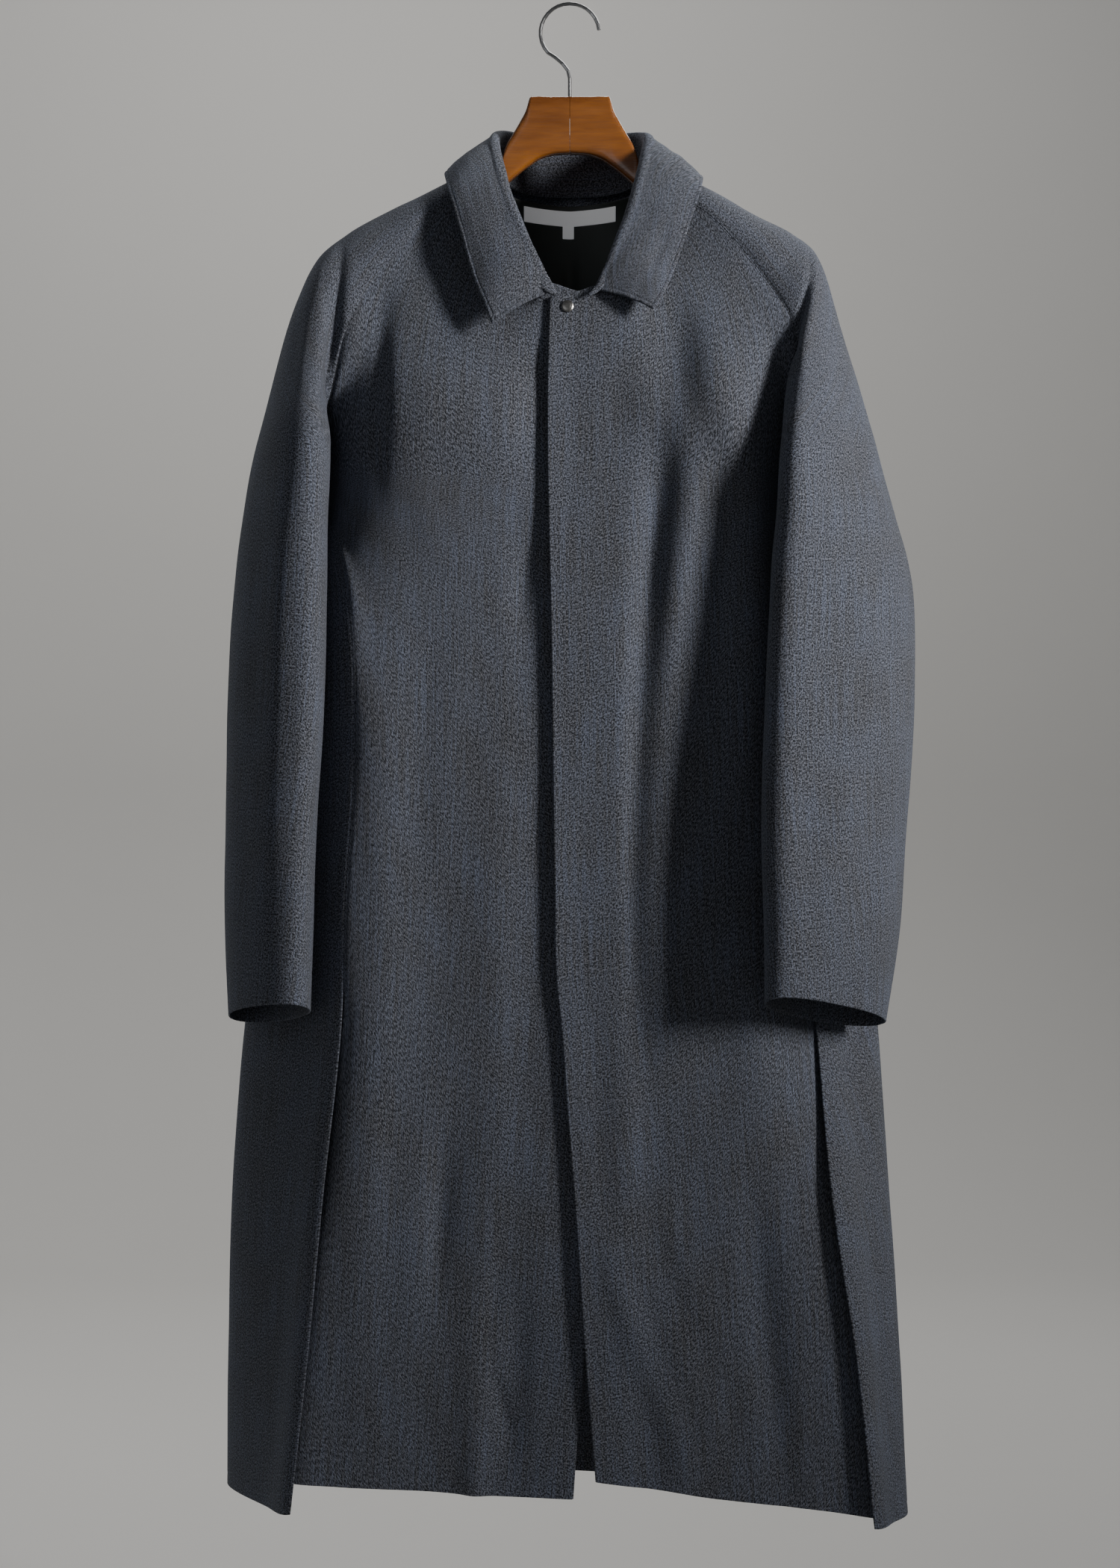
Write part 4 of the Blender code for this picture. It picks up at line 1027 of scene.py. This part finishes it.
def collar_section(u):
    """From the neck seam up the stand, over the roll and down the fall."""
    row = 16 * u
    seam = neck_point(COLLAR.at(row, "neck_angle"))
    roll = COLLAR.at(row, "roll_x", "roll_y", "roll_z")
    edge = COLLAR.at(row, "edge_x", "edge_y", "edge_z")
    out = edge - roll
    out[2] = 0
    out /= np.linalg.norm(out)
    up = np.array([0, 0, 1.0])
    front = eased(min(row, 16 - row) / 2.5)
    radius = ROLL_RADIUS * (0.45 + 0.55 * front)
    seam = seam + up * (1.9 * front) - out * (0.4 + 1.6 * front) + [0, -8.2 * (1 - front), 0]
    inner = roll - up * radius
    middle = inner + out * radius
    arc = [middle + radius * (up * sin(a) - out * cos(a)) for a in np.linspace(0.15, pi - 0.15, 9)]
    stand = [seam * (1 - t) + arc[0] * t for t in (0.0, 0.34, 0.68)]
    belly = out * 2.5 + np.array([0, -1.5, 1.0])
    fall = [arc[-1] * (1 - t) + edge * t + belly * 4 * t * (1 - t) for t in (0.2, 0.45, 0.72, 1.0)]
    return np.array(stand + arc + fall)


COLLAR_CREASES = (
    (69, -187, 32, -219, 4.4, 1.0), (81, -210, 66, -241, 4.0, 1.0), (-44, -150, -52, -210, 7, 0.7),
)


def collar_relief(p, across, along):
    x, z = p[:, :, 0], p[:, :, 2]
    d = 0.35 * blend_of(along, across, 46, 1.1)
    for x1, z1, x2, z2, wide, deep in COLLAR_CREASES:
        run = np.array([x2 - x1, z2 - z1], float)
        share = ((x - x1) * run[0] + (z - z1) * run[1]) / (run @ run)
        over = ((x - x1) * run[1] - (z - z1) * run[0]) / np.linalg.norm(run)
        fall = eased((across - 40) / 8)
        crease = deep * fall * np.exp(-((over / wide) ** 2))
        d = d - crease * eased((share + 0.15) / 0.3) * eased((1.1 - share) / 0.3)
    return d * eased((across[:, -1:] - across) / 6 + 0.3)


EDGE_LINE = 2.4     # how far in from its edge the collar is stitched
EDGE_DIP = (EDGE_LINE, 0.45, 0.8)
collar_cloth = woven(
    "collar_cloth", "collar", collar_section, 76, 240, wool,
    wall=COLLAR_WALL, trim=(0, 0), outward=-1, relief=collar_relief, edge=1.1,
    grooves=(("end", *EDGE_DIP), ("top", *EDGE_DIP), ("bottom", *EDGE_DIP)),
)
stitches("collar_stitching", [line_on("collar_cloth", "end", EDGE_LINE, 0.005, 0.995)], thread)


# ================================================================ back lining, label and size tab
# The inside of the back is half lined with dark twill, eased with a small pleat at the centre. A
# blank white woven label and a blank tab below it are sewn to it under the neck seam.

LINING_WALL = 1.0
TAPE_WALL = 1.0
BODY_ROWS, BACK_COLUMNS = 26, 34


def lifted(section, v, distance, samples=90):
    """A section moved off its panel: plus goes outside on the back, inside on the lapping front."""
    step = 0.004
    fractions = np.linspace(0, 1, samples)
    here = walked(section(v), fractions)
    down = walked(section(min(v + step, 1)), fractions)
    down = down - walked(section(max(v - step, 0)), fractions)
    normal = np.cross(np.gradient(here, axis=0), down)
    normal /= np.linalg.norm(normal, axis=1)[:, None]
    return here + normal * distance


def between(curve, start, end, axis=0):
    """The part of a curve that lies between two values of one coordinate."""
    order = curve if curve[-1, axis] > curve[0, axis] else curve[::-1]
    at = np.linspace(start, end, 60)
    return np.stack([np.interp(at, order[:, axis], order[:, k]) for k in range(3)], axis=1)


def stations(start, end, rows):
    return start + (end - start) * np.arange(rows + 1) / rows


def chorded(section, rows, distance):
    """A section moved off its panel as built: straight from one of its rows to the next."""
    moved = [lifted(section, v, distance) for v in rows]

    def between_rows(v):
        k = int(np.clip(np.searchsorted(rows, v) - 1, 0, len(rows) - 2))
        t = (v - rows[k]) / (rows[k + 1] - rows[k])
        return moved[k] * (1 - t) + moved[k + 1] * t

    return between_rows


LINING_OFF = CLOTH / 2 + LINING_WALL / 2 + 0.9
PLEAT = 4.6
back_rows = stations(BACK_START, 1, BODY_ROWS)[:9]
inside_back = chorded(BACK.at, back_rows, -LINING_OFF)


def lining_section(v):
    curve = walked(inside_back(v), np.linspace(0, 1, BACK_COLUMNS + 1), 0.3, 0.3)[1:-1]
    curve[:, 1] -= PLEAT * eased((v - 0.05) / 0.09) * np.exp(-(((curve[:, 0] - 1) / 3.6) ** 2))
    return curve


satin = Look("Dark lining", Roughness=0.42, Sheen_Weight=0.1)
rib = {"Vector": threads(satin), "Scale": 0.6, "Distortion": 0.6}
rib = satin.node("TexWave", {"bands_direction": "DIAGONAL"}, rib)
satin.feed("Base Color", satin.mix(rib, (0.010, 0.015, 0.013), (0.026, 0.036, 0.032)))
satin.feed("Normal", satin.bump(rib, 0.0002, 0.4))
lining_cloth = woven(
    "lining_cloth", "back_lining", lining_section, 120, 60, satin,
    wall=LINING_WALL, trim=(0, 0), ends=(back_rows[0], back_rows[6]),
)

TAPE_OFF = LINING_WALL / 2 + TAPE_WALL / 2 + 0.4
# Each tape: its edges in x, its ends down the lining, its columns and rows, and its flat size
TAPES = {
    "label": (-39.5, 40.0, (0.0153, 0.0313), 60, 14, (0.080, 0.0155)),
    "size_tab": (-5.8, 3.7, (0.0319, 0.0451), 12, 12, (0.0100, 0.0105)),
}
inside_lining = chorded(lining_section, back_rows[:3], -TAPE_OFF)
# The tape's faint emission is a painted glow: it brightens the label and the size tab in the shade under the
# collar, though they are no lamp.
tape = Look("White tape", Roughness=0.6, Sheen_Weight=0.15, Emission_Color=(0.92, 0.95, 1.0, 1),
            Emission_Strength=0.12)
weft = {"Vector": threads(tape), "Scale": 0.55, "Distortion": 0.4}
weft = tape.node("TexWave", {"bands_direction": "Y"}, weft)
tape.feed("Base Color", tape.mix(weft, (0.92, 0.92, 0.89), (0.99, 0.99, 0.96)))
tape.feed("Normal", tape.bump(weft, 0.00015, 0.5))
for name, (left, right, tape_ends, columns, rows, flat_size) in TAPES.items():
    piece = woven(
        name + "_tape", name, lambda v, left=left, right=right: between(inside_lining(v), left, right),
        columns, rows, tape, wall=TAPE_WALL, trim=(0.2, 0.2), ends=tape_ends, edge=0.4,
    )


# ================================================================ pocket facings
# A narrow strip of the same wool inside each front, behind the pocket mouth in the side seam. It
# is sewn along the mouth and hidden when the pocket is closed.

FACING_WIDTH, FACING_WALL = 10.0, 1.4
FACING_TOP_Z, FACING_END_Z = -640.0, -785.0
FACING_OFF = CLOTH / 2 + FACING_WALL / 2 + 0.75
FACING_TRIM = 1.5
front_rows = stations(FRONT_START, 1, BODY_ROWS)
beside = {
    "right": chorded(FRONT["right"].at, front_rows, FACING_OFF),
    "left": chorded(FRONT["left"].at, front_rows, -FACING_OFF),
}


def facing_section(v, side):
    curve = beside[side](v)
    length = np.linalg.norm(np.diff(curve, axis=0), axis=1).sum()
    return walked(curve, np.linspace(0, 1, 20), length - FACING_WIDTH - FACING_TRIM, FACING_TRIM)


def row_at(z):
    return TOP_SHARE + (1 - TOP_SHARE) * (ARMPIT_Z - z) / (ARMPIT_Z - HEM_Z)


for side, worn in SIDES:
    facing = woven(
        f"pocket_facing_{worn}_cloth", f"pocket_facing_{worn}",
        lambda v, side=side: facing_section(v, side), 12, 60, wool,
        wall=FACING_WALL, trim=(0, 0), ends=(row_at(FACING_TOP_Z), row_at(FACING_END_Z)),
        outward=-OUT[side],
    )


# ================================================================ snap
# A domed press-stud cap, pressed from brass and plated with dull nickel, then set through the top
# of the left front. Its solid is kept and given its surface here.


def refinish(node, look):
    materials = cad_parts[node].data.materials
    materials.clear()
    materials.append(look.material)


nickel = Look("Dull nickel", Metallic=1.0, Roughness=0.32)
scuff = nickel.stretched(nickel.node("TexCoord", out=3), (900.0, 900.0, 900.0))
scuff = nickel.noise(scuff, 1.0, 4.0)
nickel.feed("Base Color", nickel.mix(scuff, (0.17, 0.165, 0.155), (0.30, 0.29, 0.28)))
nickel.feed("Roughness", scuff * 0.25 + 0.22)
refinish("snap_cap", nickel)


# ================================================================ hanger
# A flat two-part hanger of steamed beech under clear orange-brown varnish. The halves meet in the
# middle with a fine joint line, and a plated wire hook is screwed in from above.

SEAM = 0.3          # between the two halves
RING = 72           # points round an arm

# The visible yoke of each wooden arm, from the centre joint out
YOKE = Rows(
    "x top bottom thick mid_y",
    (0, -78, -126, 15, 0), (18, -78, -128, 15, 0), (30, -78, -133, 15, 0), (34, -79, -136, 15, 0),
    (37, -89, -138, 15, 0), (42, -99, -142, 15, 0), (48, -109.5, -147, 15, 0), (54, -120, -152, 15, 0),
    (58, -131, -155, 15, 0), (62, -141, -158.5, 14, 1), (66, -146.5, -162, 14, 2),
)

# The covered part, by the rows of the sleeve that rests on it
ARM = Rows(
    "row tall thick droop",
    (0, 24, 15, 5), (0.5, 29, 17, 0), (1, 30, 22, 0), (2, 28, 32, 0), (3, 26, 37, 0.4),
    (3.4, 24, 33, 1.2), (3.6, 19, 24, 5),
)
REST = CLOTH / 2 + 0.5   # the cloth's middle lies this far above the wood
CORNER_POWER = 0.45


def block_ring(top, bottom, thick, mid):
    """The outline across an arm as y and z: a rounded block."""
    angles = np.linspace(0, 2 * pi, RING, endpoint=False)
    y = mid + thick / 2 * np.sign(np.cos(angles)) * np.abs(np.cos(angles)) ** CORNER_POWER
    z = (top + bottom) / 2
    z = z + (top - bottom) / 2 * np.sign(np.sin(angles)) * np.abs(np.sin(angles)) ** CORNER_POWER
    return y, z


def yoke_ring(side, x):
    out = OUT[side]
    y, z = block_ring(*YOKE.at(x, "top", "bottom", "thick", "mid_y"))
    return [(out * max(x, SEAM / 2) * MM, a * MM, b * MM) for a, b in zip(y, z)]


def arm_ring(side, row):
    """The same block under the sleeve: no point of it comes nearer to the cloth than REST."""
    front = sleeve_arc(side, row, "front")
    back = sleeve_arc(side, row, "back")
    cover = np.vstack([front, back[::-1][1:]])
    cover = cover[np.argsort(cover[:, 1])]
    tall, thick, droop = ARM.at(row, "tall", "thick", "droop")
    ridge = front[-1]
    y, z = block_ring(ridge[2] - droop, ridge[2] - tall, thick, ridge[1])
    lean = np.interp(y, cover[:, 1], cover[:, 0]) - ridge[0]
    slope = np.gradient(cover[:, 2], cover[:, 1] + 1e-6 * np.arange(len(cover)))
    beyond, before = (SEAMS[side].at(row + step, "ridge_x", "ridge_z") for step in (0.1, -0.1))
    run, drop = beyond - before
    tilt = np.sqrt(1 + np.interp(y, cover[:, 1], slope) ** 2 + (drop / run) ** 2)
    z = np.minimum(z, np.interp(y, cover[:, 1], cover[:, 2]) - REST * tilt)
    return [((ridge[0] + a) * MM, b * MM, c * MM) for a, b, c in zip(lean, y, z)]


varnish = Look("Varnished wood", Roughness=0.3, Coat_Weight=0.4, Coat_Roughness=0.14)
run = varnish.node("TexCoord", out=3)
board = varnish.stretched(run, (14.0, 60.0, 60.0))
ring = varnish.noise(board, 1.0, 3.0, 0.6)
pore = varnish.noise(varnish.stretched(run, (60.0, 900.0, 900.0)), 1.0, 2.0, 0.5).clipped(0.35, 0.7)
tone = varnish.mix(ring.clipped(0.3, 0.7), (0.145, 0.044, 0.007), (0.285, 0.100, 0.018))
varnish.feed("Base Color", varnish.mix(pore * 0.35, tone, (0.12, 0.035, 0.009)))
varnish.feed("Roughness", pore * 0.15 + 0.2)
varnish.feed("Normal", varnish.bump(pore, 0.0001, 0.3))


def smooth_loft(name, rings, look, node):
    """A closed solid through rings of equal count, with smooth sides."""
    solid = bmesh.new()
    loops = [[solid.verts.new(point) for point in ring] for ring in rings]
    for first, second in zip(loops, loops[1:]):
        for k in range(len(first)):
            n = (k + 1) % len(first)
            solid.faces.new((first[k], first[n], second[n], second[k]))
    solid.faces.new(loops[0])
    solid.faces.new(loops[-1])
    bmesh.ops.recalc_face_normals(solid, faces=solid.faces)
    mesh = bpy.data.meshes.new(name)
    solid.to_mesh(mesh)
    solid.free()
    mesh.shade_smooth()
    mesh.set_sharp_from_angle(angle=radians(50))
    mesh.materials.append(look.material)
    made = linked(name, mesh)
    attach(made, "root")
    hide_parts(node)
    return made


yoke_x = np.concatenate([np.linspace(0, 33, 18), np.linspace(33.5, 66, 44)])
for side, worn in SIDES:
    rings = [yoke_ring(side, x) for x in yoke_x]
    rings += [arm_ring(side, row) for row in np.linspace(0.53, 3.6, 60)]
    arm = smooth_loft(f"hanger_arm_{worn}_wood", rings, varnish, f"hanger_arm_{worn}")

plate = Look("Plated wire", Metallic=1.0, Roughness=0.2)
haze = plate.noise(plate.node("TexCoord", out=3), 160.0, 3.0)
plate.feed("Base Color", plate.mix(haze, (0.30, 0.30, 0.30), (0.46, 0.46, 0.46)))
refinish("hanger_hook", plate)
